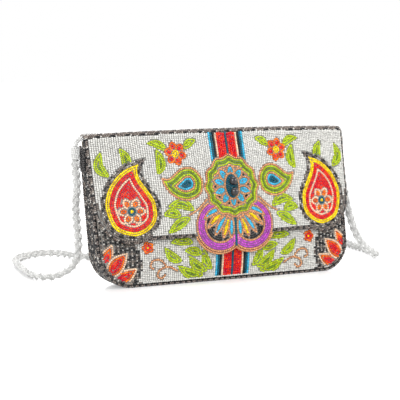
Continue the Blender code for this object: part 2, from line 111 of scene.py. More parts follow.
def new_finish(name, colour, roughness, metallic=0.0):
    """A material and its node tree, from which a section builds one finish."""
    material = bpy.data.materials.new(name)
    material.use_nodes = True
    material.diffuse_color = (*colour, 1)
    shade(material.node_tree, {"Base Color": (*colour, 1), "Roughness": roughness, "Metallic": metallic})
    return material, material.node_tree


def add_piece(name, mesh, finishes):
    for finish in finishes:
        mesh.materials.append(finish)
    piece = bpy.data.objects.new(name, mesh)
    bpy.context.scene.collection.objects.link(piece)
    return piece


def built_piece(name, builder, finish):
    """A smooth piece from what a builder holds."""
    for face in builder.faces:
        face.smooth = True
    mesh = bpy.data.meshes.new(name)
    builder.to_mesh(mesh)
    builder.free()
    return add_piece(name, mesh, [finish])


world = bpy.data.worlds.new("studio")
bpy.context.scene.world = world
world.use_nodes = True
tree = world.node_tree
seen = add_node(tree, "LightPath", {}).outputs
reflected = add_node(tree, "Math", {0: seen["Is Transmission Ray"], 1: seen["Is Glossy Ray"]},
                     operation="MAXIMUM").outputs[0]
either = add_node(tree, "Math", {0: seen["Is Camera Ray"], 1: reflected}, operation="MAXIMUM").outputs[0]
level = add_node(tree, "MapRange", {"To Min": WORLD_LEVEL, "To Max": 1.0, "Value": either})
set_inputs(tree, tree.nodes["Background"], {"Color": WHITE_LIGHT, "Strength": level.outputs["Result"]})

for lamp_name, lamp_place, lamp_size, lamp_power in LAMPS:
    lamp_data = bpy.data.lights.new(lamp_name, "AREA")
    lamp_data.shape = "DISK"
    lamp_data.size = lamp_size
    lamp_data.energy = lamp_power
    lamp = bpy.data.objects.new(lamp_name, lamp_data)
    lamp.location = lamp_place
    lamp.rotation_euler = (Vector(lamp_place) - VIEW_AIM).to_track_quat("Z", "Y").to_euler()
    bpy.context.scene.collection.objects.link(lamp)

floor_finish, tree = new_finish("pale_floor", FLOOR_COLOUR, FLOOR_ROUGHNESS)
to_camera = add_node(tree, "LightPath", {}).outputs["Is Camera Ray"]
glow = add_node(tree, "Math", {0: to_camera, 1: FLOOR_GLOW}, operation="MULTIPLY").outputs[0]
shade(tree, {"Emission Color": WHITE_LIGHT, "Emission Strength": glow})
builder = bmesh.new()
bmesh.ops.create_grid(builder, x_segments=4, y_segments=4, size=FLOOR_SIZE / 2)
floor = built_piece("floor", builder, floor_finish)

# The rope strap: a cotton cord covered by a braid of three strands, each of three strings of
# clear and white glass beads. Both ends go into thread bindings at the gusset's tops.
ROPE_DIAMETER = 0.0064
ROPE_STEP = 0.0155
CLEARANCE = 0.0003
CURVE_STEPS = 12
BINDING_RADIUS = 0.0038
BRAID_PITCH = 0.0225
BRAID_REACH = 0.00215
BRAID_RISE = 0.00125
STRINGS = 3
STRING_REACH = 0.00090
STRING_PITCH = 0.0190
ROPE_BEAD = 0.00180
ROPE_BEAD_PITCH = 0.00152
ROPE_FILL = 1.06
ROPE_CORE_RADIUS = 0.0023
ROPE_SAMPLE = 0.0006
CLEAR_BEADS = display(234, 234, 232)
MILKY_BEADS = display(214, 214, 212)
COTTON = display(208, 208, 206)
COTTON_ROUGHNESS = 0.9
COTTON_GRAIN = 900
STRANDS = 3
BEAD_DIMPLE = 0.34
BEAD_SHOULDER = 1.08
BEAD_BARREL = 1.3
COAT_ROUGHNESS = 0.06

# Seed beads vary: each is tilted, sized and placed a little off its true place
BEAD_TILT = 0.05
BEAD_UNLIKENESS = 0.045
BEAD_DRIFT = 0.00004

floor_z = ROPE_DIAMETER / 2 + CLEARANCE
left_route = [
    (-0.1240, 0.0225, 0.0850), (-0.1248, 0.0240, 0.0650), (-0.1234, 0.0250, 0.0450),
    (-0.1218, 0.0270, 0.0270), (-0.1232, 0.0330, 0.0160), (-0.1262, 0.0410, 0.0090),
    (-0.1320, 0.0475, 0.0048), (-0.1400, 0.0500, floor_z), (-0.1465, 0.0580, floor_z),
    (-0.1485, 0.0720, floor_z), (-0.1455, 0.0980, floor_z), (-0.1410, 0.1260, floor_z),
    (-0.1340, 0.1500, floor_z), (-0.1240, 0.1640, floor_z), (-0.1120, 0.1720, floor_z),
    (-0.0980, 0.1750, floor_z), (-0.0870, 0.1700, floor_z), (-0.0810, 0.1580, floor_z),
    (-0.0770, 0.1450, floor_z), (-0.0660, 0.1350, floor_z),
]
behind_route = [
    (-0.0400, 0.1340, floor_z), (0.0000, 0.1540, floor_z), (0.0350, 0.1920, floor_z),
    (0.0560, 0.2400, floor_z), (0.0950, 0.2720, floor_z), (0.1400, 0.2640, floor_z),
    (0.1730, 0.2260, floor_z), (0.1880, 0.1720, floor_z), (0.1880, 0.1250, floor_z),
]
right_route = [
    (0.1830, 0.0900, floor_z), (0.1800, 0.0620, floor_z), (0.1750, 0.0380, floor_z),
    (0.1660, 0.0220, 0.0050), (0.1550, 0.0170, 0.0110), (0.1448, 0.0145, 0.0200),
    (0.1378, 0.0142, 0.0320), (0.1330, 0.0150, 0.0460), (0.1300, 0.0168, 0.0620),
    (0.1274, 0.0190, 0.0800),
]


def lengths(line):
    """How far along a line each of its points is."""
    return np.concatenate([[0], np.cumsum(np.linalg.norm(np.diff(line, axis=0), axis=1))])


def along_line(goals, along, values):
    """A line's places, or other values at its points, at some lengths along it."""
    return np.stack([np.interp(goals, along, values[:, axis]) for axis in range(values.shape[1])], axis=-1)


def even_steps(points, step):
    """Points at even steps along a line."""
    line = as_array(points)
    along = lengths(line)
    goals = np.linspace(0, along[-1], max(1, round(along[-1] / step)) + 1)
    return [Vector(place) for place in along_line(goals, along, line)]


def as_array(points):
    return np.array([tuple(point) for point in points])


def smooth_route(points, step):
    """Points at even steps along a smooth curve through the route's own points."""
    samples = []
    padded = [points[0] * 2 - points[1]] + points + [points[-1] * 2 - points[-2]]
    for before, start, end, after in zip(padded, padded[1:], padded[2:], padded[3:]):
        for count in range(CURVE_STEPS):
            t = count / CURVE_STEPS
            samples.append(0.5 * (2 * start + (end - before) * t
                                  + (2 * before - 5 * start + 4 * end - after) * t ** 2
                                  + (3 * start - before - 3 * end + after) * t ** 3))
    return even_steps(samples + [points[-1]], step)


def bead_shape(sides):
    """A seed bead, 1 across and 1 long, its thread along Z: a barrel with dimpled ends."""
    builder = bmesh.new()
    bmesh.ops.create_uvsphere(builder, u_segments=sides, v_segments=4, radius=0.5)
    for vertex in builder.verts:
        x, y, z = vertex.co
        if x ** 2 + y ** 2 < 0.01:
            vertex.co.z = BEAD_DIMPLE if z > 0 else -BEAD_DIMPLE
        elif abs(z) > 0.1:
            vertex.co = (x * BEAD_SHOULDER, y * BEAD_SHOULDER, z * BEAD_BARREL)
    return shape_arrays(builder)


def shape_arrays(builder):
    places = as_array(vertex.co for vertex in builder.verts)
    faces = [[vertex.index for vertex in face.verts] for face in builder.faces]
    builder.free()
    return places, faces


def bead(place, thread, outward, width, length, colour, finish=0):
    """One bead as a row of numbers: where it is, how it lies, its size, colour and finish."""
    return (*place, *thread, *outward, width, length, *colour, finish)


def unit(vectors):
    return vectors / np.maximum(np.linalg.norm(vectors, axis=1, keepdims=True), 1e-9)


def string_beads(name, beads, finishes, core=None, sides=6):
    """One mesh of many beads, each a little unlike the next, with its colour and tone as attributes.
    A core is the points, faces and colour of what the beads cover. Its finish is the last one."""
    table = np.array(beads)
    count = len(table)
    chance = np.random.default_rng(count)
    places, faces = bead_shape(sides)
    thread = unit(table[:, 3:6] + chance.normal(0, BEAD_TILT, (count, 3)))
    outward = table[:, 6:9]
    outward = unit(outward - thread * (outward * thread).sum(1, keepdims=True))
    across = np.cross(outward, thread)
    width = table[:, 9:10] * (1 + chance.normal(0, BEAD_UNLIKENESS, (count, 1)))
    length = table[:, 10:11] * (1 + chance.normal(0, BEAD_UNLIKENESS, (count, 1)))
    middle = table[:, 0:3] + chance.normal(0, BEAD_DRIFT, (count, 3))
    turned = (across[:, None] * (places[:, 0:1] * width[:, None])
              + outward[:, None] * (places[:, 1:2] * width[:, None])
              + thread[:, None] * (places[:, 2:3] * length[:, None]))
    points = (middle[:, None] + turned).reshape(-1, 3)
    tone = np.repeat(chance.random(count), len(places))
    colour = np.repeat(table[:, 11:14], len(places), axis=0)
    corners = (np.concatenate(faces)[None] + np.arange(count)[:, None] * len(places)).ravel()
    face_sizes = np.tile([len(face) for face in faces], count)
    slots = np.repeat(table[:, 14].astype(int), len(faces))
    if core is not None:
        core_points, core_faces, core_colour = core
        corners = np.concatenate([corners, np.concatenate(core_faces) + len(points)])
        face_sizes = np.concatenate([face_sizes, [len(face) for face in core_faces]])
        slots = np.concatenate([slots, np.full(len(core_faces), len(finishes) - 1)])
        points = np.concatenate([points, core_points])
        tone = np.concatenate([tone, np.full(len(core_points), 0.5)])
        colour = np.concatenate([colour, np.tile(core_colour, (len(core_points), 1))])
    mesh = bpy.data.meshes.new(name)
    mesh.vertices.add(len(points))
    mesh.vertices.foreach_set("co", points.ravel())
    mesh.loops.add(len(corners))
    mesh.loops.foreach_set("vertex_index", corners)
    mesh.polygons.add(len(face_sizes))
    mesh.polygons.foreach_set("loop_start", np.concatenate([[0], np.cumsum(face_sizes)[:-1]]))
    mesh.polygons.foreach_set("material_index", slots)
    mesh.polygons.foreach_set("use_smooth", np.ones(len(face_sizes), bool))
    mesh.update(calc_edges=True)
    mesh.attributes.new("bead_tone", "FLOAT", "POINT").data.foreach_set("value", tone)
    colour = np.column_stack([colour, np.ones(len(colour))])
    mesh.attributes.new("bead_colour", "FLOAT_COLOR", "POINT").data.foreach_set("color", colour.ravel())
    return add_piece(name, mesh, finishes)


def fit(piece, body, slot, node=None):
    """Fixes a piece to the body that it moves with. It may stand for a node of the frame."""
    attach(piece, body)
    if node:
        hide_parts(node)
    return piece


def tube_arrays(points, radius, sides_level):
    """The surface of a tube along points, made by a bevelled curve, as points and faces."""
    curve = bpy.data.curves.new("core", "CURVE")
    curve.dimensions = "3D"
    curve.bevel_depth = radius
    curve.bevel_resolution = sides_level
    curve.use_fill_caps = True
    spline = curve.splines.new("POLY")
    spline.points.add(len(points) - 1)
    for target, point in zip(spline.points, points):
        target.co = (*point, 1)
    holder = bpy.data.objects.new("core", curve)
    mesh = bpy.data.meshes.new_from_object(holder)
    builder = bmesh.new()
    builder.from_mesh(mesh)
    bmesh.ops.remove_doubles(builder, verts=builder.verts, dist=radius / 100)
    bpy.data.objects.remove(holder)
    bpy.data.curves.remove(curve)
    bpy.data.meshes.remove(mesh)
    return shape_arrays(builder)


def carried_frames(line):
    """The line's directions, and two sets of directions square to it that don't twist along it."""
    forward = unit(np.gradient(line, axis=0))
    side = np.zeros_like(line)
    start = np.cross(forward[0], (0, 1, 0))
    side[0] = start / np.linalg.norm(start)
    for index in range(1, len(line)):
        carried = side[index - 1] - forward[index] * (side[index - 1] @ forward[index])
        side[index] = carried / np.linalg.norm(carried)
    return forward, side, np.cross(forward, side)


def turned_way(side, rise, turn):
    """Directions at an angle between side and rise: one angle for all, or one for each."""
    turn = np.reshape(turn, (-1, 1))
    return side * np.cos(turn) + rise * np.sin(turn)


def new_group(name, inputs, outputs):
    """A node group with its sockets, what its input node gives, and its output node."""
    group = bpy.data.node_groups.new(name, "ShaderNodeTree")
    for way, sockets in (("INPUT", inputs), ("OUTPUT", outputs)):
        for socket, kind in sockets:
            group.interface.new_socket(socket, in_out=way, socket_type="NodeSocket" + kind)
    return group, group.nodes.new("NodeGroupInput").outputs, group.nodes.new("NodeGroupOutput")


bead_group, given, result = new_group(
    "bead_glass", [(key, "Float") for key in ("Tone spread", "Hue spread", "Smoothest", "Roughest")],
    [("Colour", "Color"), ("Roughness", "Float")])
bead_colour = add_node(bead_group, "Attribute", {}, attribute_name="bead_colour").outputs["Color"]
bead_tone = add_node(bead_group, "Attribute", {}, attribute_name="bead_tone").outputs["Fac"]
centred = add_node(bead_group, "Math", {0: bead_tone, 1: 0.5}, operation="SUBTRACT").outputs[0]
value, hue = [add_node(bead_group, "Math", {0: centred, 1: given[spread], 2: middle},
                       operation="MULTIPLY_ADD").outputs[0]
              for spread, middle in (("Tone spread", 1.0), ("Hue spread", 0.5))]
tinted = add_node(bead_group, "HueSaturation", {"Color": bead_colour, "Value": value, "Hue": hue})
polish = add_node(bead_group, "MapRange",
                  {"Value": bead_tone, "To Min": given["Smoothest"], "To Max": given["Roughest"]})
set_inputs(bead_group, result, {"Colour": tinted.outputs["Color"], "Roughness": polish.outputs["Result"]})


def bead_finish(name, colour, spread, smoothest, roughest, coat, metallic=0.0, hue=0.0):
    """A bead's glass: how far its tone and hue spread from bead to bead, and its polish."""
    material, tree = new_finish(name, colour, (smoothest + roughest) / 2, metallic)
    glass = add_node(tree, "Group", {"Tone spread": spread, "Hue spread": hue, "Smoothest": smoothest,
                                     "Roughest": roughest}, node_tree=bead_group).outputs
    shade(tree, {"Coat Weight": coat, "Coat Roughness": COAT_ROUGHNESS, "Base Color": glass["Colour"],
                 "Roughness": glass["Roughness"]})
    return material


def noise_grain(tree, scale, detail=2.0):
    place = add_node(tree, "TexCoord", {}).outputs["Object"]
    return add_node(tree, "TexNoise", {"Vector": place, "Scale": scale, "Detail": detail}).outputs["Fac"]


def toned(tree, grain, colour, darkest, lightest):
    """A colour that changes between two tones of itself with a grain."""
    dark, light = [(*[part * tone for part in colour], 1) for tone in (darkest, lightest)]
    return add_node(tree, "Mix", {"A": dark, "B": light, "Factor": grain}, data_type="RGBA").outputs["Result"]


def raised(tree, grain, strength, distance, **under):
    """A relief that follows a grain."""
    return add_node(tree, "Bump", {"Strength": strength, "Distance": distance, "Height": grain,
                                   **under}).outputs["Normal"]


def rope_end(node):
    """Where the rope leaves a binding, at the binding's lower end."""
    low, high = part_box(node)
    return Vector(((low.x + high.x) / 2, high.y - BINDING_RADIUS, low.z - CLEARANCE))


left_end = rope_end("left_binding")
right_end = rope_end("right_binding")
downwards = Vector((0, 0, -ROPE_DIAMETER))
route = [left_end + downwards]
route += [Vector(point) for point in left_route + behind_route + right_route]
route += [right_end + downwards]
rope_line = [left_end] + smooth_route(route, ROPE_STEP) + [right_end]

line = as_array(smooth_route(rope_line, ROPE_SAMPLE))
forward, side, rise = carried_frames(line)
travelled = np.arange(len(line)) * ROPE_SAMPLE
rope_beads = []
for strand in range(STRANDS):
    phase = travelled / BRAID_PITCH * 2 * pi + strand * 2 * pi / STRANDS
    strand_line = (line + side * (BRAID_REACH * np.sin(phase))[:, None]
                   + rise * (BRAID_RISE * np.sin(2 * phase))[:, None])
    for string in range(STRINGS):
        turn = travelled / STRING_PITCH * 2 * pi + string * 2 * pi / STRINGS
        string_line = strand_line + STRING_REACH * turned_way(side, rise, turn)
        along = lengths(string_line)
        goals = np.arange(ROPE_BEAD_PITCH / 2, along[-1], ROPE_BEAD_PITCH)
        place = along_line(goals, along, string_line)
        middle = along_line(goals, along, line)
        thread = unit(np.gradient(place, axis=0))
        outward = unit(place - middle + 1e-7)
        place[:, 2] = np.maximum(place[:, 2], ROPE_BEAD / 2)
        outside_cotton = np.linalg.norm(place - middle, axis=1) > ROPE_CORE_RADIUS - ROPE_BEAD / 2
        for index in np.flatnonzero(outside_cotton):
            colour = CLEAR_BEADS if (index * 7 + string) % 5 else MILKY_BEADS
            rope_beads.append(bead(place[index], thread[index], outward[index], ROPE_BEAD,
                                   ROPE_BEAD_PITCH * ROPE_FILL, colour))

clear_glass = bead_finish("clear_bead_glass", CLEAR_BEADS, spread=0.14, smoothest=0.12,
                          roughest=0.30, coat=0.5)
cotton, tree = new_finish("rope_cotton", COTTON, COTTON_ROUGHNESS)
grain = noise_grain(tree, COTTON_GRAIN)
shade(tree, {"Base Color": toned(tree, grain, COTTON, 0.8, 1), "Normal": raised(tree, grain, 1.0, 0.0002)})

rope_core = tube_arrays(smooth_route(rope_line, ROPE_DIAMETER / 2), ROPE_CORE_RADIUS, 1)
rope = fit(string_beads("rope_strap", rope_beads, [clear_glass, cotton], (*rope_core, COTTON)),
           "body", "rope_beads", "strap_rope")
[tuple(point) for point in line[::4]]

# Bindings: each end of the rope is laid on its tab and wound with a string of the same clear
# beads, drawn tight round a core of cotton.
BINDING_LENGTH = 0.0110
BINDING_SLANT = 0.0008
BINDING_END = 0.0002
WINDING_BEAD = 0.00170
WINDING_PITCH = 0.00150
STRING_FILL = 0.95
TAIL = ((0.0000, 0.0000, 0.0010), (0.0006, -0.0012, 0.0042), (0.0034, -0.0016, 0.0062),
        (0.0068, -0.0016, 0.0058))
TAIL_RADIUS = 0.0022
TAIL_STEPS = 12


def winding_bead(place, thread, away):
    return bead(place, thread, away, WINDING_BEAD, WINDING_PITCH * STRING_FILL, CLEAR_BEADS)


for side_name, rope_start, inwards in (("left", left_end, 1), ("right", right_end, -1)):
    axis = Vector((0, BINDING_SLANT, -BINDING_LENGTH)).normalized()
    top = rope_start - axis * (BINDING_LENGTH + CLEARANCE)
    across = axis.cross(Vector((1, 0, 0))).normalized()
    square = axis.cross(across)
    reach = BINDING_RADIUS - WINDING_BEAD / 2
    rounds = BINDING_LENGTH / WINDING_BEAD
    winding = []
    count = int(rounds * 2 * pi * reach / WINDING_PITCH)
    for index in range(count):
        share = (index + 0.5) / count
        turn = share * rounds * 2 * pi
        away = across * cos(turn) + square * sin(turn)
        down = WINDING_BEAD / 2 + (BINDING_LENGTH - WINDING_BEAD) * share
        winding.append(winding_bead(top + axis * down + away * reach, axis.cross(away), away))
    tail = as_array(smooth_route([top + Vector((x * inwards, y, z)) for x, y, z in TAIL],
                                 WINDING_BEAD / TAIL_STEPS))
    ahead, tail_side, tail_rise = carried_frames(tail)
    away = turned_way(tail_side, tail_rise, np.arange(len(tail)) / TAIL_STEPS * 2 * pi)
    wound = tail + away * (TAIL_RADIUS - WINDING_BEAD / 2)
    along = lengths(wound)
    for index in np.searchsorted(along, np.arange(WINDING_PITCH / 2, along[-1], WINDING_PITCH)):
        winding.append(winding_bead(wound[index], np.cross(ahead[index], away[index]), away[index]))
    core = tube_arrays([top + axis * BINDING_END, top + axis * (BINDING_LENGTH - BINDING_END)], reach, 2)
    fit(string_beads(side_name + "_rope_binding", winding, [clear_glass, cotton], (*core, COTTON), sides=8),
        "body", "rope_beads", side_name + "_binding")

# Tabs: short pieces of dark woven tape, sewn to the gusset's top, that carry the rope. Small
# black beads are sewn all over them, like the gusset's.
TAPE = display(36, 35, 38)
TAPE_THREAD = display(86, 82, 82)
TAPE_THICKNESS = 0.0005
TAPE_GRID = (12, 28)
TAPE_EDGE_ROLL = 0.00012
TAB_BEAD = 0.00168
TAB_BEAD_LENGTH = TAB_BEAD * 0.8
TAB_PITCH = TAB_BEAD * 0.9
TAB_BED = TAB_BEAD * 0.62
TAB_ROW = 0.00172
TAB_END = 0.0060
TAB_SINK = 0.0012
JET_GLASS = display(15, 14, 17)
SMOKY_GLASS = display(92, 86, 84)

weave_group, given, result = new_group("plain_weave", [("Threads per metre", "Float")], [("Weave", "Float")])
place = add_node(weave_group, "TexCoord", {}).outputs["Object"]
yarns = [add_node(weave_group, "TexWave", {"Vector": place, "Scale": given["Threads per metre"]},
                  bands_direction=way).outputs["Fac"] for way in ("X", "Z")]
crossed = add_node(weave_group, "Math", {0: yarns[0], 1: yarns[1]}, operation="MULTIPLY").outputs[0]
set_inputs(weave_group, result, {"Weave": crossed})


def woven_grain(tree, threads):
    return add_node(tree, "Group", {"Threads per metre": threads}, node_tree=weave_group).outputs["Weave"]


def woven_finish(name, colour, roughness, threads, depth, sheen):
    material, tree = new_finish(name, colour, roughness)
    weave = woven_grain(tree, threads)
    tone = toned(tree, weave, colour, 0.55, 1)
    shade(tree, {"Sheen Weight": sheen, "Sheen Roughness": 0.4, "Base Color": tone,
                 "Normal": raised(tree, weave, 0.6, depth)})
    return material


def cloth_shell(name, grid, place, thickness, finish, outward, body, slot, node=None):
    """A sheet of cloth: a grid laid by place(across, along), each 0 to 1, and given its thickness."""
    builder = bmesh.new()
    bmesh.ops.create_grid(builder, x_segments=grid[0], y_segments=grid[1], size=0.5)
    for vertex in builder.verts:
        vertex.co = place(vertex.co.x + 0.5, vertex.co.y + 0.5)
    builder.normal_update()
    middle = list(builder.faces)[len(builder.faces) // 2]
    if middle.normal.dot(Vector(outward)) < 0:
        bmesh.ops.reverse_faces(builder, faces=builder.faces)
    piece = fit(built_piece(name, builder, finish), body, slot, node)
    thick = piece.modifiers.new("thickness", "SOLIDIFY")
    thick.thickness = thickness
    thick.offset = -1


dark_tape = woven_finish("dark_woven_tape", TAPE, 0.8, threads=900, depth=0.0002, sheen=0.3)
# Sewing thread: fine slanting ply lines and a slight change of tone
dark_thread, tree = new_finish("dark_sewing_thread", TAPE_THREAD, 0.6)
place = add_node(tree, "TexCoord", {}).outputs["Object"]
ply = add_node(tree, "TexWave", {"Scale": 1400, "Distortion": 2.0, "Vector": place},
               bands_direction="DIAGONAL").outputs["Fac"]
shade(tree, {"Base Color": toned(tree, ply, TAPE_THREAD, 0.62, 1), "Normal": raised(tree, ply, 0.5, 0.0001)})
jet_glass = bead_finish("jet_bead_glass", JET_GLASS, spread=0.6, smoothest=0.05, roughest=0.16,
                        coat=0.8)

for side_name, outside in (("left", -1), ("right", 1)):
    low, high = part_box(side_name + "_tab")
    outer_x = low.x if outside < 0 else high.x
    tape_x = outer_x - outside * TAB_BED

    def sunk(z):
        """How far the tab's ends lie in, where they are sewn down flat on the gusset."""
        return TAB_SINK * max(1 - min(z - low.z, high.z - z) / TAB_END, 0) ** 1.5

    def tape_place(across, along):
        edge_roll = TAPE_EDGE_ROLL * abs(2 * across - 1) ** 4
        z = low.z + (high.z - low.z) * along
        return Vector((tape_x - outside * (edge_roll + sunk(z)), low.y + (high.y - low.y) * across, z))

    cloth_shell(side_name + "_tape", TAPE_GRID, tape_place, TAPE_THICKNESS, dark_tape, (outside, 0, 0),
                "body", "dark_fabric", side_name + "_tab")
    sewn = []
    for y in np.linspace(low.y + TAB_BEAD / 2, high.y - TAB_BEAD / 2, int((high.y - low.y) / TAB_ROW)):
        for z in np.arange(low.z + TAB_BEAD / 2, high.z, TAB_PITCH):
            glass = SMOKY_GLASS if len(sewn) * 7 % 11 < 3 else JET_GLASS
            sewn.append(bead((outer_x - outside * (TAB_BEAD / 2 + sunk(z)), y, z), (0, 0, 1), (outside, 0, 0),
                             TAB_BEAD, TAB_BEAD_LENGTH, glass))
    fit(string_beads(side_name + "_tab_beads", sewn, [jet_glass]), "body", "dark_beads")

# Front panel: seed beads sewn in upright rows on a pale cloth. The beads stop a little under
# the flap's edge, and above them the panel is covered with dark satin.
BODY_HEIGHT = 0.1256
TOP_HALF_WIDTH = 0.1210
SIDE_TAPER = 0.0042
CORNER_RADIUS = 0.0260
BASE_DEPTH = 0.0255
TOP_DEPTH = 0.0120
LEAN = 0.0225
FRONT_DOME = 0.0138
FRONT_PEAK_SHARE = 0.55
FRONT_TOP_LOSS_SHARE = 0.34
BEAD_THICKNESS = 0.0020
SEAM_INSET = 0.0025
MOUTH_HEIGHT = 0.1138
BEAD_TOP = 0.0465
SIDE_RISE = 0.0300
SIDE_RISE_START = 0.086
SIDE_RISE_WIDTH = 0.026
ROW_SPACING = 0.00188
GROUND_BEAD = 0.00182
GROUND_PITCH = 0.00148
PATTERN_PITCH = 0.00156
ROW_FILL = 0.96
LINE_FILL = 0.90
FIGURE_ROW = 0.00176
FIGURE_BEAD = 0.00178
FILLER_ROOM = 0.00138
FILLER_LENGTH = FIGURE_BEAD * 0.86
FILLER_EDGE = 0.45
LINE_COVER = 0.72
FIGURE_MARGIN = 0.0022
OUTLINE_BEAD = 0.00186
OUTLINE_PITCH = 0.00176
BORDER_INSET = 0.0010
ROW_MARGIN = 0.0024
CORNER_STEP = 0.0003
ROW_GAUGE_HEIGHT = 0.06
PATCH_X = 0.0815
PATCH_BEND = 0.010
PATCH_MIDDLE = 0.018
PATCH_REACH = 0.024
CLOTH_THICKNESS = 0.0005
CLOTH_DEPTH = 0.0014
CLOTH_END = 0.0004
CLOTH_FLOOR = 0.0008
PUCKERS_ACROSS = 70
PUCKERS_UP = 24
CLOTH_GRID = (80, 40)
BASE_HALF_WIDTH = TOP_HALF_WIDTH - SIDE_TAPER

# Measures of the figures in millimetres, as their outlines are drawn
FILLER_GRID = 0.35
FORM_MARGIN = 0.35
FIGURE_FLOOR = 4.2

# Which finish of the panel's list a colour of bead is made in
PEARL, OPAQUE, GUNMETAL_GLASS, METAL, POLISHED = range(5)
WHITE = (display(222, 221, 216), PEARL)
IVORY = (display(246, 212, 180), PEARL)
RED = (display(230, 26, 32), OPAQUE)
ORANGE = (display(240, 112, 28), OPAQUE)
YELLOW = (display(250, 216, 22), OPAQUE)
LIME = (display(184, 204, 40), OPAQUE)
LEAF = (display(112, 142, 44), OPAQUE)
TURQUOISE = (display(70, 190, 228), OPAQUE)
TEAL = (display(0, 92, 112), OPAQUE)
ORCHID = (display(196, 84, 200), OPAQUE)
BLACK = (display(26, 26, 30), GUNMETAL_GLASS)
TAUPE = (display(118, 108, 102), GUNMETAL_GLASS)
GREIGE = (display(150, 140, 131), GUNMETAL_GLASS)
# Silver beads set among dark ones are partly real pale beads and partly painted highlights, glints of the
# lamps on dark glass
SILVER = (display(190, 186, 180), GUNMETAL_GLASS)
JET = (JET_GLASS, POLISHED)
COPPER = (display(222, 158, 110), METAL)
MIXED_LOT_AND_GLINTS = (BLACK, TAUPE, SILVER, JET, GREIGE, TAUPE)
PATCH_DARK_ROW = (JET, BLACK, JET, TAUPE)
PATCH_GLINT_ROW = (SILVER, TAUPE, BLACK, GREIGE, SILVER)

pearl_glass = bead_finish("pearl_white_glass", WHITE[0], spread=0.26, smoothest=0.16,
                          roughest=0.34, coat=0.35, hue=0.01)
opaque_glass = bead_finish("opaque_colour_glass", RED[0], spread=0.58, smoothest=0.10,
                           roughest=0.24, coat=0.0, hue=0.02)
shade(opaque_glass.node_tree, {"Specular IOR Level": 0.35})
gunmetal_glass = bead_finish("gunmetal_glass", TAUPE[0], spread=0.60, smoothest=0.16,
                             roughest=0.34, coat=0.4, metallic=0.55, hue=0.02)
copper_lined = bead_finish("copper_lined_glass", COPPER[0], spread=0.24, smoothest=0.18,
                           roughest=0.34, coat=0.3, metallic=0.45, hue=0.015)
bead_finishes = [pearl_glass, opaque_glass, gunmetal_glass, copper_lined, jet_glass]


def plain_half_width(z):
    return BASE_HALF_WIDTH + SIDE_TAPER * z / BODY_HEIGHT


def half_width(z, inset):
    """Half of the body's width at a height, with its round lower corners."""
    if z >= CORNER_RADIUS:
        return plain_half_width(z) - inset
    reach = CORNER_RADIUS - inset
    drop = CORNER_RADIUS - z
    return plain_half_width(z) - CORNER_RADIUS + sqrt(max(reach ** 2 - drop ** 2, 0.0))


def seam_y(z, side):
    depth = BASE_DEPTH + (TOP_DEPTH - BASE_DEPTH) * z / BODY_HEIGHT
    return LEAN * z / BODY_HEIGHT + side * depth / 2


def across_share(x, z):
    return 1 - min(abs(x) / half_width(z, 0), 1) ** 2


def front_y(x, z):
    share = z / BODY_HEIGHT
    if share < FRONT_PEAK_SHARE:
        full = 1 - (1 - share / FRONT_PEAK_SHARE) ** 2.5
    else:
        full = 1 - FRONT_TOP_LOSS_SHARE * ((share - FRONT_PEAK_SHARE) / (1 - FRONT_PEAK_SHARE)) ** 2
    return seam_y(z, -1) - FRONT_DOME * across_share(x, z) * full


def front_face(x, z):
    return np.array((x, front_y(x, z), z))


def on_face(face, x, z, depth, outside):
    """A place under a face, with the face's directions across, up and out at it."""
    nudge = 0.0004
    across = face(x + nudge, z) - face(x - nudge, z)
    up = face(x, z + nudge) - face(x, z - nudge)
    out = np.cross(across, up) * outside
    out = out / np.linalg.norm(out)
    return face(x, z) - out * depth, across / (2 * nudge), up / (2 * nudge), out


def upright_rows(face, outside, width_at, floor_at, top_at, colour_at, pitch_scale=1.0,
                 spacing=ROW_SPACING):
    """Beads in upright rows over a face. The rows lean with its sides, as sewn cloth is cut."""
    beads = []
    reach = width_at(ROW_GAUGE_HEIGHT)
    count = int(reach / spacing)
    for column in range(-count, count + 1):
        share = column * spacing / reach
        z = floor_at(share * reach)
        top = top_at(share * reach)
        while z < top:
            x = share * width_at(z)
            chosen = colour_at(x, z, column)
            colour, finish = chosen or WHITE
            pitch = (GROUND_PITCH if finish == PEARL else PATTERN_PITCH) * pitch_scale
            place, across, up, out = on_face(face, x, z, GROUND_BEAD / 2, outside)
            if chosen:
                width = GROUND_BEAD * np.linalg.norm(across) * spacing / ROW_SPACING
                beads.append(bead(place, up, out, width, pitch * ROW_FILL, colour, finish))
            z += pitch / np.linalg.norm(up)
    return beads


def row_beads(face, outside, points, width, pitch, colour):
    """A row of beads along a line of (x, z) points on a face. Gunmetal beads are a mixed lot; its silver ones
    are partly painted glints.
    """
    shades = MIXED_LOT_AND_GLINTS if colour is TAUPE else (colour,)
    flat = np.array(points)
    along = lengths(np.array([on_face(face, x, z, width / 2, outside)[0] for x, z in points]))
    count = max(1, int(along[-1] / pitch))
    beads = []
    for index, goal in enumerate((np.arange(count) + 0.5) * along[-1] / count):
        colour, finish = shades[(index * 5 + index // 3 + index // 7) % len(shades)]
        x, z = along_line(goal, along, flat)
        x_on, z_on = along_line(goal + pitch / 3, along, flat) - along_line(goal - pitch / 3, along, flat)
        place, across, up, out = on_face(face, x, z, width / 2, outside)
        beads.append(bead(place, across * x_on + up * z_on, out, width, pitch * LINE_FILL, colour, finish))
    return beads


def smooth_line(points, step=0.4):
    """A smooth line through (x, z) points in millimetres, closely sampled."""
    return as_array(smooth_route([Vector(point) for point in points], step))


def blade(points, width, fullness=0.85, blunt=0.9):
    """The outline of a leaf or petal: a line in millimetres with its width at every point."""
    line = smooth_line(points)
    share = np.linspace(0, 1, len(line))
    half = width / 2 * np.sin(pi * share ** fullness) ** blunt
    ahead = unit(np.gradient(line, axis=0))
    square = np.stack([-ahead[:, 1], ahead[:, 0]], axis=1)
    return np.concatenate([line + square * half[:, None], (line - square * half[:, None])[-2:0:-1]])


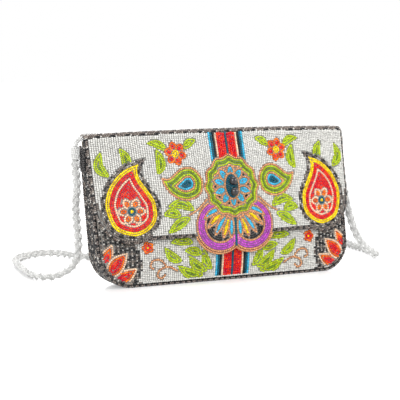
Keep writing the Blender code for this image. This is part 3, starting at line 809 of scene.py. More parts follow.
def round_form(x, z, radius, scallops=0, depth=0.0, height_share=1.0):
    """The outline of a disc or oval, with a scalloped edge if it has scallops."""
    angle = np.linspace(0, 2 * pi, 240, endpoint=False)
    reach = radius - depth / 2 + depth / 2 * np.cos(angle * scallops)
    return np.stack([x + reach * np.cos(angle), z + reach * height_share * np.sin(angle)], axis=1)


def closed_steps(outline, step=0.25):
    """A closed outline at even steps, always turning left, so that its inside is on the left."""
    loop = np.concatenate([outline, outline[:1]])
    area = (loop[:-1, 0] * loop[1:, 1] - loop[1:, 0] * loop[:-1, 1]).sum()
    if area < 0:
        loop = loop[::-1]
    along = lengths(loop)
    return along_line(np.arange(0, along[-1], step), along, loop)


def gaps_to(points, outline):
    """The distance of each point to an outline."""
    return np.sqrt(((points[:, None] - outline[None]) ** 2).sum(2).min(1))


def inside_form(points, outline):
    """Whether each point lies inside a closed outline."""
    x, z = points[:, 0:1], points[:, 1:2]
    start, end = outline, np.roll(outline, -1, axis=0)
    spans = (start[None, :, 1] > z) != (end[None, :, 1] > z)
    slope = (end[:, 0] - start[:, 0]) / (end[:, 1] - start[:, 1] + 1e-12)
    crossing = start[None, :, 0] + (z - start[None, :, 1]) * slope[None]
    return (spans & (x < crossing)).sum(1) % 2 == 1


def contour_rows(outline, spacing):
    """Lines that follow a closed outline inside it, row by row, until no room is left."""
    loop = closed_steps(outline)
    ahead = unit(np.roll(loop, -1, axis=0) - np.roll(loop, 1, axis=0))
    inward = np.stack([-ahead[:, 1], ahead[:, 0]], axis=1)
    rows = []
    while True:
        distance = (len(rows) + 0.5) * spacing
        moved = loop + inward * distance
        kept = (gaps_to(moved, loop) > distance * 0.985) & inside_form(moved, loop)
        if not kept.any():
            return rows
        if kept.all():
            rows.append([np.concatenate([moved, moved[:1]])])
            continue
        first = -int(np.argmin(kept))
        moved, kept = np.roll(moved, first, axis=0), np.roll(kept, first)
        changes = np.flatnonzero(kept[1:] != kept[:-1]) + 1
        runs = []
        for run in np.split(moved, changes)[1::2]:
            if runs and np.linalg.norm(runs[-1][-1] - run[0]) < spacing:
                runs[-1] = np.concatenate([runs[-1], run])
            else:
                runs.append(run)
        rows.append([run for run in runs if len(run) > 3])


def fill_room(form, made):
    """Places for single beads where the rows of a figure leave room, each with its thread's way."""
    low, high = form.min(0), form.max(0)
    grid = np.stack(np.meshgrid(np.arange(low[0], high[0], FILLER_GRID),
                                np.arange(low[1], high[1], FILLER_GRID)), axis=-1).reshape(-1, 2)
    grid = grid[inside_form(grid, form)]
    grid = grid[gaps_to(grid, form) > FIGURE_ROW * 1000 * FILLER_EDGE]
    if not len(grid):
        return []
    taken = np.array([(entry[0], entry[2]) for entry in made]) * 1000
    apart = np.sqrt(((grid[:, None] - taken[None]) ** 2).sum(2))
    nearest, room = apart.argmin(1), apart.min(1)
    spots = []
    while room.max() > FILLER_ROOM * 1000:
        chosen = int(room.argmax())
        beside = made[nearest[chosen]]
        spots.append((grid[chosen], (beside[3], beside[5])))
        room = np.minimum(room, np.sqrt(((grid - grid[chosen]) ** 2).sum(1)))
    return spots


def embroider(face, outside, motifs, clip):
    """Beads of all motifs, those later in the list over the earlier ones, as rows from the
    outline inwards. A motif is an outline in millimetres and the colours of its rows."""
    forms = [closed_steps(outline) for outline, colours in motifs if colours[0] != "row"]
    beads = []
    order = 0
    for outline, colours in motifs:
        rows = []
        if colours[0] == "row":
            rows, colours = [[outline]], colours[1:]
        else:
            order += 1
            if colours[0] != "bare":
                rows = contour_rows(outline, FIGURE_ROW * 1000)
        made = []
        for index, row in enumerate(rows):
            colour = colours[min(index, len(colours) - 1)]
            pitch = OUTLINE_PITCH if colour in (COPPER, IVORY) else PATTERN_PITCH
            for run in row:
                made += row_beads(face, outside, run * 0.001, FIGURE_BEAD, pitch, colour)
        if not made:
            continue
        if len(rows) > 1:
            for (x, z), (x_way, z_way) in fill_room(forms[order - 1], made):
                depth = gaps_to(np.array([(x, z)]), forms[order - 1])[0]
                colour, finish = colours[min(int(depth / FIGURE_ROW / 1000), len(colours) - 1)]
                spot, across, up, out = on_face(face, x * 0.001, z * 0.001, FIGURE_BEAD / 2, outside)
                made.append(bead(spot, across * x_way + up * z_way, out, FIGURE_BEAD, FILLER_LENGTH, colour,
                                 finish))
        flat = np.array([(entry[0], entry[2]) for entry in made]) * 1000
        hidden = ~clip(flat)
        for form in forms[order:]:
            near = ((flat > form.min(0) - 1) & (flat < form.max(0) + 1)).all(1)
            if near.any():
                hidden[near] |= inside_form(flat[near], form) | (gaps_to(flat[near], form) < FORM_MARGIN)
        beads += [entry for entry, gone in zip(made, hidden) if not gone]
    return beads, forms


def covered_by(forms, motifs):
    """A test for whether a motif, or a single row of beads, covers a place, in metres."""
    boxes = [(form.min(0) - FORM_MARGIN, form.max(0) + FORM_MARGIN) for form in forms]
    single_rows = np.concatenate([outline for outline, colours in motifs if colours[0] == "row"])

    def covered(x, z):
        spot = np.array((x, z))[None] * 1000
        for form, (low, high) in zip(forms, boxes):
            if (spot > low).all() and (spot < high).all():
                if inside_form(spot, form)[0] or gaps_to(spot, form)[0] < FORM_MARGIN:
                    return True
        return gaps_to(spot, single_rows)[0] < FIGURE_ROW * 1000 * LINE_COVER

    return covered


# The stripe down the middle, by bead row from its centre
STRIPE = (TEAL, RED, RED, RED, RED, IVORY, BLACK, TEAL, TURQUOISE)


def both_sides(motifs):
    return motifs + [(outline * (-1, 1), colours) for outline, colours in motifs]


def leaves(lines, width):
    """Leaves of two greens, one for each line."""
    return [(blade(line, width), (LIME, LIME, LEAF)) for line in lines]


def stems(lines):
    return [(smooth_line(line), ("row", COPPER)) for line in lines]


front_motifs = both_sides(
    stems([[(50, 11), (58, 15), (66, 13), (68, 8), (64, 6), (61, 9)],
           [(60, 15), (65, 21), (72, 21), (74, 16), (71, 14)]])
    + leaves([[(19, 10), (25, 18), (27, 29)], [(46, 19), (55, 23), (62, 32)],
              [(36, 34), (46, 36), (57, 35)], [(28, 24), (36, 27), (45, 28)]], 8.2)
    + leaves([[(23, 9), (33, 14), (41, 24)], [(26, 6), (39, 8), (51, 16)]], 9.0)
    + [(round_form(76, 32, 5.6, 5, 1.2), (ORANGE, RED, YELLOW))]
    + [(blade(line, width), (IVORY, ORANGE, RED, RED)) for line, width in (
        ([(113, 8), (112, 22), (105, 37)], 12.5), ([(110, 7), (97, 9), (85, 16)], 12.5),
        ([(111, 9), (103, 19), (93, 29)], 14))])


def bead_top(x):
    """How high the front's beads go: higher at the sides, where the flap's corners are round."""
    share = min(max((abs(x) - SIDE_RISE_START) / SIDE_RISE_WIDTH, 0.0), 1.0)
    return BEAD_TOP + SIDE_RISE * share ** 2 * (3 - 2 * share)


def front_patch(x, z):
    """Whether a place is in the dark patch of a lower corner."""
    return abs(x) > PATCH_X + PATCH_BEND * min(abs(z - PATCH_MIDDLE) / PATCH_REACH, 1.3) ** 2


def back_colour(x, z, column):
    """The plain ground of a body panel, with its stripe."""
    if abs(x) > half_width(z, SEAM_INSET + ROW_MARGIN):
        return None
    return STRIPE[abs(column)] if abs(column) < len(STRIPE) else WHITE


def front_colour(x, z, column):
    ground = back_colour(x, z, column)
    if ground is not WHITE:
        return ground
    if front_covered(x, z):
        return None
    if front_patch(x, z):
        # Every other row of the dark patch mixes in silver and greige beads: partly real pale beads, partly
        # painted highlights as glints along the rows
        mix = PATCH_DARK_ROW if column % 2 else PATCH_GLINT_ROW
        return mix[(int(z / PATTERN_PITCH) * 3 + column * column // 2) % len(mix)]
    return WHITE


def panel_width(z):
    return half_width(max(z, CORNER_RADIUS), 0)


def panel_floor(x):
    """Where an upright row of beads starts, above the seam and the round corner."""
    z = inset = SEAM_INSET + ROW_MARGIN
    while z < CORNER_RADIUS and abs(x) > half_width(z, inset):
        z += CORNER_STEP
    return z


def outline_line(inset, top, step=0.0015):
    """The U of the body's sides and base as (x, z), from the left top to the right top."""
    right = [(half_width(top, inset), top), (half_width(CORNER_RADIUS, inset), CORNER_RADIUS)]
    for angle in np.radians(np.arange(6, 90, 6)):
        z = CORNER_RADIUS - (CORNER_RADIUS - inset) * sin(angle)
        right.append((half_width(z, inset), z))
    right.append((half_width(inset, inset), inset))
    left = [Vector((-x, z)) for x, z in right]
    return [tuple(point) for point in even_steps(left + [Vector(point) for point in reversed(right)], step)]


def front_room(flat):
    """Which places, in millimetres, have room for a bead beside the stripe and inside the seam."""
    x, z = np.abs(flat[:, 0]), flat[:, 1]
    edge = np.array([half_width(max(height, 0.1) * 0.001, SEAM_INSET + FIGURE_MARGIN) * 1000 for height in z])
    stripe_edge = (len(STRIPE) - 0.4) * ROW_SPACING * 1000
    return (x >= stripe_edge) & (x < edge) & (z < BEAD_TOP * 1000) & (z > FIGURE_FLOOR)


motif_beads, motif_forms = embroider(front_face, 1, front_motifs, front_room)
front_covered = covered_by(motif_forms, front_motifs)
front_beads = upright_rows(front_face, 1, panel_width, panel_floor, bead_top, front_colour) + motif_beads
border = outline_line(SEAM_INSET + BORDER_INSET, BEAD_TOP + SIDE_RISE)
for colour, points in ((TAUPE, [point for point in border if point[0] < -PATCH_X]),
                       (WHITE, [point for point in border if abs(point[0]) <= PATCH_X]),
                       (TAUPE, [point for point in border if point[0] > PATCH_X])):
    front_beads += row_beads(front_face, 1, points, OUTLINE_BEAD, OUTLINE_PITCH, colour)
fit(string_beads("front_beading", front_beads, bead_finishes), "body", "white_beads", "front_panel")

pale_cloth = woven_finish("pale_backing_cloth", display(176, 175, 171), 0.9, threads=700,
                          depth=0.0001, sheen=0.0)


def puckered(spot, out, x, height, along, pucker, number):
    """A place on a sheet, moved by the soft puckers between its edges."""
    ripple = max(noise.noise((x * PUCKERS_ACROSS, height * PUCKERS_UP, number)), 0)
    return Vector(spot - out * ripple * pucker * sin(pi * along) ** 0.5)


def body_sheet(face, outside, inset, low, high, depth, pucker=0.0):
    """How a sheet lies behind a face of the body, from a low to a high edge."""
    def place(across, along):
        z = low + (high - low) * along
        x = (2 * across - 1) * half_width(max(z, inset + CLOTH_END), inset)
        spot, x_way, z_way, out = on_face(face, x, max(z, CLOTH_FLOOR), depth, outside)
        return puckered(spot, out, x, z, along, pucker, 7.0)
    return place


cloth_shell("front_backing_cloth", CLOTH_GRID,
            body_sheet(front_face, 1, SEAM_INSET, SEAM_INSET, MOUTH_HEIGHT, CLOTH_DEPTH),
            CLOTH_THICKNESS, pale_cloth, (0, -1, 0), "body", "white_beads")

# Satin facing: dark satin over the front panel above its beads, where only the flap's
# underside touches it. It is stitched to the cloth under it and overlaps the top beads' edge.
SATIN = display(52, 50, 54)
FACING_DEPTH = 0.0001
FACING_OVERLAP = 0.0013

# Satin has fine warp lines, soft long folds in its relief, painted sheen and shade that lighten and darken
# its colour along the same folds, and a smooth sheen
satin, tree = new_finish("dark_satin", SATIN, 0.38)
weave = woven_grain(tree, 1500)
folds_and_sheen = noise_grain(tree, 26)
gloss = add_node(tree, "MapRange", {"To Min": 0.30, "To Max": 0.50, "Value": weave}).outputs["Result"]
warp = raised(tree, weave, 0.3, 0.00005)
shade(tree, {"Sheen Weight": 0.35, "Sheen Roughness": 0.3, "Anisotropic": 0.5, "Roughness": gloss,
             "Base Color": toned(tree, folds_and_sheen, SATIN, 0.55, 1.3),
             "Normal": raised(tree, folds_and_sheen, 0.8, 0.0022, Normal=warp)})


def facing_place(across, along):
    low = bead_top((2 * across - 1) * half_width(BEAD_TOP, SEAM_INSET)) - FACING_OVERLAP
    z = low + (MOUTH_HEIGHT - low) * along
    x = (2 * across - 1) * half_width(z, SEAM_INSET)
    return Vector(on_face(front_face, x, z, FACING_DEPTH, 1)[0])


cloth_shell("front_satin_facing", (90, 30), facing_place, CLOTH_THICKNESS, satin, (0, -1, 0),
            "body", "satin_lining")

# Linings of the body: satin glued round the boards, with soft puckers between its edges, and
# the stiffening boards of pressed fibre behind it.
BOARD_THICKNESS = 0.0008
LINING_THICKNESS = 0.0005
BACK_DOME = 0.0060
BACK_HEIGHT = 0.119316
SLANT_SHARE = 1.12
PUCKER = 0.0004
PANEL_STACK = BEAD_THICKNESS + BOARD_THICKNESS + LINING_THICKNESS + 2 * CLEARANCE
BOARD_INSET = BEAD_THICKNESS + CLEARANCE + PANEL_STACK * (SLANT_SHARE - 1)
BOARD_FIBRE = display(186, 172, 146)


def back_face(x, z):
    rise = min(z / BACK_HEIGHT, 1)
    return np.array((x, seam_y(z, 1) + BACK_DOME * across_share(x, z) * 4 * rise * (1 - rise), z))


for side_name, face, outside, top in (("front", front_face, 1, MOUTH_HEIGHT),
                                      ("back", back_face, -1, BACK_HEIGHT)):
    cloth_shell(side_name + "_satin_lining", (90, 44),
                body_sheet(face, outside, BOARD_INSET, BOARD_INSET, top, PANEL_STACK, PUCKER),
                LINING_THICKNESS * 0.8, satin, (0, outside, 0), "body", "satin_lining",
                side_name + "_lining")

board_fibre, tree = new_finish("board_fibre", BOARD_FIBRE, 0.85)
fibres = noise_grain(tree, 700, 6)
shade(tree, {"Base Color": toned(tree, fibres, BOARD_FIBRE, 0.75, 1.1),
             "Normal": raised(tree, fibres, 1.0, 0.0001)})


def refinish(nodes, material):
    """Gives nodes of the frame their finish."""
    for node in nodes:
        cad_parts[node].data.materials.clear()
        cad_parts[node].data.materials.append(material)


refinish(("front_board", "back_board", "flap_board"), board_fibre)

# Back panel: white beads and the same stripe, on a pale cloth. Its rows are a little wider
# apart, as on such bags' backs.
BACK_SPACING = 0.00200
BACK_SCALE = 1.10
BACK_TOP_MARGIN = 0.0030
TOP_BORDER_INSET = 0.0012
TOP_BORDER_END = 0.0008


def halves(name, beads):
    """Beads to the left and right of the middle, as two lots."""
    yield name + "_left", [entry for entry in beads if entry[0] < 0]
    yield name + "_right", [entry for entry in beads if entry[0] >= 0]


back_rows = upright_rows(back_face, -1, panel_width, panel_floor, lambda x: BACK_HEIGHT - BACK_TOP_MARGIN,
                         back_colour, BACK_SCALE, BACK_SPACING)
top_reach = half_width(BACK_HEIGHT, SEAM_INSET) - TOP_BORDER_END
top_border = [(share * top_reach, BACK_HEIGHT - TOP_BORDER_INSET) for share in np.linspace(-1, 1, 80)]
for points in (outline_line(SEAM_INSET + BORDER_INSET, BACK_HEIGHT - BACK_TOP_MARGIN), top_border):
    back_rows += row_beads(back_face, -1, points, OUTLINE_BEAD, OUTLINE_PITCH, TAUPE)
for name, chosen in halves("back_beading", back_rows):
    fit(string_beads(name, chosen, bead_finishes), "body", "white_beads", "back_panel")
cloth_shell("back_backing_cloth", CLOTH_GRID,
            body_sheet(back_face, -1, SEAM_INSET, SEAM_INSET, BACK_HEIGHT, CLOTH_DEPTH),
            CLOTH_THICKNESS, pale_cloth, (0, 1, 0), "body", "white_beads")

# Gusset: one strip of black cloth down one side, under the base and up the other. Black and
# gunmetal beads are sewn in rows along it, and dark satin lines it inside.
GUSSET_HEIGHT = 0.1128
GUSSET_ROWS = 13
GUSSET_ROW = 0.00190
GUSSET_BEAD = 0.00186
GUSSET_BEAD_LENGTH = GUSSET_BEAD * 0.8
GUSSET_PITCH = GUSSET_BEAD * 0.82
GUSSET_TRIM = 0.35
GUSSET_SETBACK = BEAD_THICKNESS * SLANT_SHARE + CLEARANCE
GUSSET_LINING_INSET = BEAD_THICKNESS + CLEARANCE
# Pairs of rows with silver and greige beads alternate with nearly black ones: the pale beads are partly
# painted highlights, as glints along the rows
GLINT_ROWS = (BLACK, TAUPE, JET, SILVER, BLACK, GREIGE)
DARK_ROWS = (JET, JET, BLACK, JET, JET, JET, SILVER)


def gusset_lines(inset):
    """The rows along the gusset from the front edge to the back edge, some of them cut short."""
    stations = outline_line(inset, GUSSET_HEIGHT, 0.0010)
    for row in range(GUSSET_ROWS):
        line = []
        for x, z in stations:
            front, back = seam_y(z, -1) + GUSSET_SETBACK, seam_y(z, 1) - GUSSET_SETBACK
            y = front + (row + 0.5) * GUSSET_ROW
            if y < back - GUSSET_ROW * GUSSET_TRIM:
                line.append((x, y, z))
            elif line:
                yield row, line
                line = []
        if line:
            yield row, line


def with_neighbours(points):
    """Each point between the one before it and the one after."""
    return zip([points[0]] + points, points, points[1:] + [points[-1]])


gusset_beads = []
chance = np.random.default_rng(7)
for row, line in gusset_lines(GUSSET_BEAD / 2):
    if len(line) < 3:
        continue
    for before, here, after in with_neighbours(even_steps(line, GUSSET_PITCH)):
        thread = after - before
        mix = GLINT_ROWS if row % 4 < 2 else DARK_ROWS
        colour, finish = mix[int(chance.random() * len(mix))]
        gusset_beads.append(bead(here, thread, (thread.z, 0, -thread.x), GUSSET_BEAD,
                                 GUSSET_BEAD_LENGTH, colour, finish))
fit(string_beads("gusset_beading", gusset_beads, bead_finishes), "body", "dark_beads", "gusset")

black_cloth = woven_finish("black_backing_cloth", display(40, 40, 42), 0.9, threads=700,
                           depth=0.0001, sheen=0.1)


def gusset_sheet(inset, setback):
    stations = np.array(outline_line(inset, GUSSET_HEIGHT, 0.0040))
    numbers = np.arange(len(stations))

    def place(across, along):
        x, z = along_line(across * numbers[-1], numbers, stations)
        front, back = seam_y(z, -1) + setback, seam_y(z, 1) - setback
        return Vector((x, front + (back - front) * along, z))

    return place


for sheet_name, inset, setback, finish, slot, node in (
        ("gusset_backing_cloth", CLOTH_DEPTH, GUSSET_SETBACK, black_cloth, "dark_beads", None),
        ("gusset_satin_lining", GUSSET_LINING_INSET, PANEL_STACK * SLANT_SHARE + CLEARANCE, satin,
         "satin_lining", "gusset_lining")):
    cloth_shell(sheet_name, (150, 8), gusset_sheet(inset, setback), LINING_THICKNESS * 0.9, finish,
                (0, 0, -1), "body", slot, node)

# Bead seams: one string of dark glass beads over each seam between a panel and the gusset. Each
# bead is sewn down where the two edges meet, so that no raw edge shows.
SEAM_RADIUS = 0.0011
SEAM_PITCH = 0.00172
SEAM_BEAD = SEAM_RADIUS * 1.95
SEAM_LOT = (TAUPE, TAUPE, BLACK)

for side_name, face, outside in (("front", front_face, -1), ("back", back_face, 1)):
    points = [(x, face(x, z)[1] - outside * BEAD_THICKNESS / 2, z)
              for x, z in outline_line(SEAM_RADIUS, MOUTH_HEIGHT)]
    seam = []
    for before, here, after in with_neighbours(even_steps(points, SEAM_PITCH)):
        colour, finish = SEAM_LOT[len(seam) % len(SEAM_LOT)]
        seam.append(bead(here, after - before, (0.001, -1, 0.002), SEAM_BEAD, SEAM_PITCH * ROW_FILL,
                         colour, finish))
    fit(string_beads(side_name + "_bead_seam", seam, bead_finishes, sides=8), "body", "dark_beads",
        side_name + "_seam")

# Rolled edgings: strings of dark beads sewn side by side round a cord, one at the mouth and one
# along the fold at the back.
MOUTH_RADIUS = 0.0017
ROLL_RADIUS = 0.0023
FOLD_DROP = 0.0015
AXIS_Z = BODY_HEIGHT - FOLD_DROP - PANEL_STACK / 2
AXIS_Y = back_face(0, BACK_HEIGHT)[1] - PANEL_STACK / 2


def edging_piece(name, node, points, radius, strings, width, pitch, colours):
    """Beads in strings round a line, with the cord that they cover as the piece's core."""
    points = even_steps(points, radius)
    line = as_array(points)
    forward, side, rise = carried_frames(line)
    reach = radius - width / 2
    beads = []
    for string in range(strings):
        away = turned_way(side, rise, (string + 0.5) * 2 * pi / strings)
        strung = line + away * reach
        along = lengths(strung)
        count = max(1, int(along[-1] / pitch))
        goals = (np.arange(count) + 0.25 + 0.5 * (string % 2)) * along[-1] / count
        lots = [along_line(goals, along, values) for values in (strung, forward, away)]
        for index, (spot, thread, out) in enumerate(zip(*lots)):
            colour, finish = colours[(index * 5 + string * 2) % len(colours)]
            beads.append(bead(spot, thread, out, width, pitch * STRING_FILL, colour, finish))
    core = tube_arrays(points, reach, 1)
    fit(string_beads(name, beads, bead_finishes + [dark_thread], (*core, TAPE_THREAD)), "body", "dark_beads",
        node)


mouth_z = MOUTH_HEIGHT + CLEARANCE + MOUTH_RADIUS
mouth_reach = half_width(mouth_z, SEAM_INSET)
edging_piece("mouth_bead_edging", "mouth_edging",
             [(x, front_y(x, mouth_z) + PANEL_STACK / 2, mouth_z)
              for x in np.linspace(-1, 1, 60) * mouth_reach],
             MOUTH_RADIUS, strings=5, width=0.0015, pitch=0.0015, colours=(TAUPE, BLACK, TAUPE))
roll_reach = half_width(AXIS_Z, SEAM_INSET)
edging_piece("fold_bead_roll", "fold_roll", [(-roll_reach, AXIS_Y, AXIS_Z), (roll_reach, AXIS_Y, AXIS_Z)],
             ROLL_RADIUS, strings=6, width=0.0017, pitch=0.0016, colours=(TAUPE, TAUPE, BLACK))

# Flap: white beads in upright rows from the lobed edge up and a little over the fold, with the
# stripe and the embroidered figures, on a pale cloth.
FLAP_OVERHANG = 0.0005
FLAP_GAP = 0.0026
FLAP_EDGE_HEIGHT = 0.0390
FLAP_EDGE_RADIUS = 0.0016
FLAP_SOFTENING = 0.0012
FOLD_RADIUS = 0.0060
CENTRE_LOBE_RADIUS = 0.0240
CENTRE_LOBE_OFFSET = 0.0140
CENTRE_LOBE_BOTTOM = 0.0235
CORNER_LOBE_RADIUS = 0.0290
CORNER_LOBE_BOTTOM = 0.0360
FOLD_SEAM_SHARE = 0.37
BEAD_HEIGHT = 0.0795
RIM_INSET = 0.0019
EDGE_MARGIN = 0.0006
DARK_RIM = 0.0040
DARK_RIM_TOP = 0.074
DARK_RIM_FADE = 0.014
DARK_RIM_START = 0.074
CROWN = 0.0014
END_DROOP = 0.0012
CROWN_REACH = 0.030
LEAN_ANGLE = atan2(LEAN, BODY_HEIGHT)
FLAP_STAND_OFF = (FLAP_GAP + PANEL_STACK) / cos(LEAN_ANGLE)
TURN_Z = BODY_HEIGHT - FOLD_RADIUS
STRIP_START = TURN_Z + FOLD_SEAM_SHARE * FOLD_RADIUS * pi / 2
END_Y = AXIS_Y - ROLL_RADIUS - CLEARANCE


def flap_half_width(z):
    return plain_half_width(min(z, TURN_Z)) + FLAP_OVERHANG


def flap_edge_z(x, inset):
    """Height of the flap's lower edge: a straight run, a double lobe and two corner lobes."""
    corner_x = flap_half_width(FLAP_EDGE_HEIGHT) - CORNER_LOBE_RADIUS
    centre_z = CENTRE_LOBE_BOTTOM + CENTRE_LOBE_RADIUS
    corner_z = CORNER_LOBE_BOTTOM + CORNER_LOBE_RADIUS
    if abs(x) >= corner_x:
        off = min(abs(x) - corner_x, CORNER_LOBE_RADIUS - inset)
        return corner_z - sqrt((CORNER_LOBE_RADIUS - inset) ** 2 - off ** 2)
    heights = [FLAP_EDGE_HEIGHT + inset]
    for middle_x, middle_z, radius in ((CENTRE_LOBE_OFFSET, centre_z, CENTRE_LOBE_RADIUS),
                                       (corner_x, corner_z, CORNER_LOBE_RADIUS)):
        off = abs(abs(x) - middle_x)
        if off < radius - inset:
            heights.append(middle_z - sqrt((radius - inset) ** 2 - off ** 2))
    lowest = min(heights)
    blend = sum(exp((lowest - height) / FLAP_SOFTENING) for height in heights)
    return lowest - FLAP_SOFTENING * log(blend)


def flap_face(x, height, crowned=1):
    """The flap's outer face: up its front, round its fold and back to the hinge, by the length
    gone upwards. The fold bulges a little upwards in the middle."""
    share = min(abs(x) / TOP_HALF_WIDTH, 1)
    crown = crowned * (CROWN * (1 - share ** 2) ** 1.5 - END_DROOP * share ** 6)
    if height <= TURN_Z:
        risen = max(0.0, 1 - (TURN_Z - height) / CROWN_REACH)
        return np.array((x, front_y(x, height) - FLAP_STAND_OFF,
                         height + crown * risen ** 2 * (3 - 2 * risen)))
    turn_y = front_y(x, TURN_Z) - FLAP_STAND_OFF + FOLD_RADIUS
    turned = (height - TURN_Z) / FOLD_RADIUS
    if turned <= pi / 2:
        return np.array((x, turn_y - FOLD_RADIUS * cos(turned),
                         TURN_Z + crown + FOLD_RADIUS * sin(turned)))
    gone = height - TURN_Z - FOLD_RADIUS * pi / 2
    back_share = gone / (END_Y - turn_y)
    return np.array((x, turn_y + gone,
                     BODY_HEIGHT - FOLD_DROP * back_share + crown * (1 - back_share ** 2)))


def flap_end(x):
    """How far up the flap's face its hinge end is."""
    turn_y = front_y(x, TURN_Z) - FLAP_STAND_OFF + FOLD_RADIUS
    return TURN_Z + FOLD_RADIUS * pi / 2 + END_Y - turn_y


def petals(x, z, inner, outer, width, count, colours, start=0.0):
    """Petals round a middle, each a leaf form that points outwards."""
    made = []
    for index in range(count):
        angle = radians(start) + index * 2 * pi / count
        points = [(x + reach * cos(angle), z + reach * sin(angle))
                  for reach in (inner, (inner + outer) / 2, outer)]
        made.append((blade(points, width, 1.0, 0.7), colours))
    return made


PAISLEY = [(14, 36), (10, 28), (11, 22), (16, 14), (20.5, 5), (20, -8), (12.5, -17), (0, -21), (-15, -15),
           (-21, 0), (-19.5, 12), (-13, 23), (-2, 31.5), (14, 36)]


def paisley(x, z, size, turn, bent):
    """The outline of a paisley: the radius of its round end, and how its tip is turned and bent."""
    outline = smooth_line(PAISLEY) * size / 21 * (bent, 1)
    cosine, sine = cos(radians(turn)), sin(radians(turn))
    return np.stack([x + outline[:, 0] * cosine - outline[:, 1] * sine,
                     z + outline[:, 0] * sine + outline[:, 1] * cosine], axis=1)


def lobe_rows(x, z, radius, colours):
    """Rows of beads round a lobe of the edge, kept to their side of the middle."""
    rows = []
    for index, colour in enumerate(colours):
        circle = round_form(x, z, radius - (index + 0.5) * ROW_SPACING * 1000)
        angle = np.arctan2(circle[:, 1] - z, circle[:, 0] - x)
        circle = circle[np.argsort((angle - pi / 2) % (2 * pi))]
        rows.append((circle[circle[:, 0] > 1.6], ("row", colour)))
    return rows


CENTRE = BEAD_HEIGHT * 1000
LOBE_X = CENTRE_LOBE_OFFSET * 1000
LOBE_Z = (CENTRE_LOBE_BOTTOM + CENTRE_LOBE_RADIUS) * 1000
LOBE_REACH = (CENTRE_LOBE_RADIUS - RIM_INSET) * 1000
right_of_middle = (1.0, -np.inf)
lobes = both_sides(
    [(np.maximum(round_form(LOBE_X, LOBE_Z, LOBE_REACH), right_of_middle), ("bare",))]
    + lobe_rows(LOBE_X, LOBE_Z, LOBE_REACH, (COPPER, ORCHID, ORCHID, ORCHID, COPPER) + (BLACK,) * 7)
    + [(blade(line, 6.4, 1.25, 0.7), (COPPER, colour)) for line, colour in (
        ([(3.5, 58), (4.0, 46), (4.6, 35.5)], TURQUOISE), ([(4, 59), (8.5, 47), (12.5, 36)], YELLOW),
        ([(4.5, 60), (13, 50), (20, 39)], TURQUOISE), ([(5, 61), (17, 54.5), (26.5, 45.5)], YELLOW),
        ([(6, 62), (19, 60), (29, 54)], TURQUOISE))])
sprays = both_sides(
    stems([[(24, 70), (33, 62), (43, 57), (54, 54)]])
    + leaves([[(36, 61), (47, 67), (60, 65)], [(40, 56), (50, 51), (61, 43)],
              [(48, 57), (56, 60), (64, 58)], [(65, 91), (61, 100), (64, 112)],
              [(105, 90), (113, 99), (110, 112)], [(92, 95), (90, 104), (95, 114)]], 8.6)
    + [(paisley(39.5, 83, 13.5, -95, -1), (COPPER, LIME, LEAF, LIME, COPPER, TURQUOISE, TEAL))])
corners = both_sides(
    [(paisley(89.5, 63.5, 24.4, 0, -1), (TAUPE, TAUPE, YELLOW, YELLOW, RED, RED, IVORY, RED))]
    + petals(89.5, 62.5, 1.5, 12.0, 7.6, 6, (IVORY, ORANGE, ORANGE))
    + [(round_form(89.5, 62.5, 3.4), (TEAL, YELLOW))])
daisies = both_sides(
    leaves([[(54, 109), (62, 115), (72, 116)], [(40, 110), (34, 115), (27, 117)]], 6.8)
    + petals(47.5, 107, 1.0, 10.0, 7.0, 6, (ORANGE, RED, RED), 15)
    + [(round_form(47.5, 107, 3.2), (YELLOW,))])
rosette = ([(round_form(0, CENTRE, 26, 12, 1.8), (COPPER, LIME, LEAF, LIME, COPPER, BLACK))]
           + petals(0, CENTRE, 5.0, 18.6, 8.4, 10, (COPPER, TURQUOISE, TURQUOISE), 18)
           + [(round_form(0, CENTRE, 7.4, 0, 0, 1.55), (COPPER, TEAL, TEAL))])
flap_motifs = daisies + sprays + corners + lobes + rosette


def flap_room(flat):
    """Which places, in millimetres, have room for a bead inside the flap's edging."""
    room = []
    for x, z in flat:
        edge = flap_edge_z(x * 0.001, RIM_INSET + 0.0005) * 1000
        room.append(z > edge and abs(x) < (flap_half_width(z * 0.001) - RIM_INSET) * 1000 - 0.6)
    return np.array(room)


flap_motif_beads, flap_forms = embroider(flap_face, 1, flap_motifs, flap_room)
flap_covered = covered_by(flap_forms, flap_motifs)


def from_corner_edge(x, z):
    """How far a place on the flap is from the round edge of its lower corner, or from its side."""
    off = abs(x) - (flap_half_width(FLAP_EDGE_HEIGHT) - CORNER_LOBE_RADIUS)
    drop = CORNER_LOBE_BOTTOM + CORNER_LOBE_RADIUS - z
    if drop < 0:
        return flap_half_width(z) - abs(x)
    return CORNER_LOBE_RADIUS - sqrt(off ** 2 + drop ** 2)


def lowest_bead(x):
    return flap_edge_z(x, RIM_INSET + EDGE_MARGIN)


def flap_colour(x, z, column):
    if abs(x) > flap_half_width(z) - RIM_INSET - EDGE_MARGIN or flap_covered(x, z):
        return None
    if abs(column) < len(STRIPE):
        return STRIPE[abs(column)]
    rim = RIM_INSET + DARK_RIM * min((DARK_RIM_TOP - z) / DARK_RIM_FADE, 1)
    if abs(x) > DARK_RIM_START and from_corner_edge(x, z) < rim:
        return TAUPE
    if z < lowest_bead(x) + PATTERN_PITCH / 2:
        return TAUPE if column % 3 else BLACK
    return WHITE


flap_beads = upright_rows(flap_face, 1, flap_half_width, lowest_bead, lambda x: STRIP_START - EDGE_MARGIN,
                          flap_colour)
for name, chosen in (*halves("flap_ground", flap_beads), *halves("flap_figures", flap_motif_beads)):
    fit(string_beads(name, chosen, bead_finishes), "flap", "white_beads", "flap_panel")


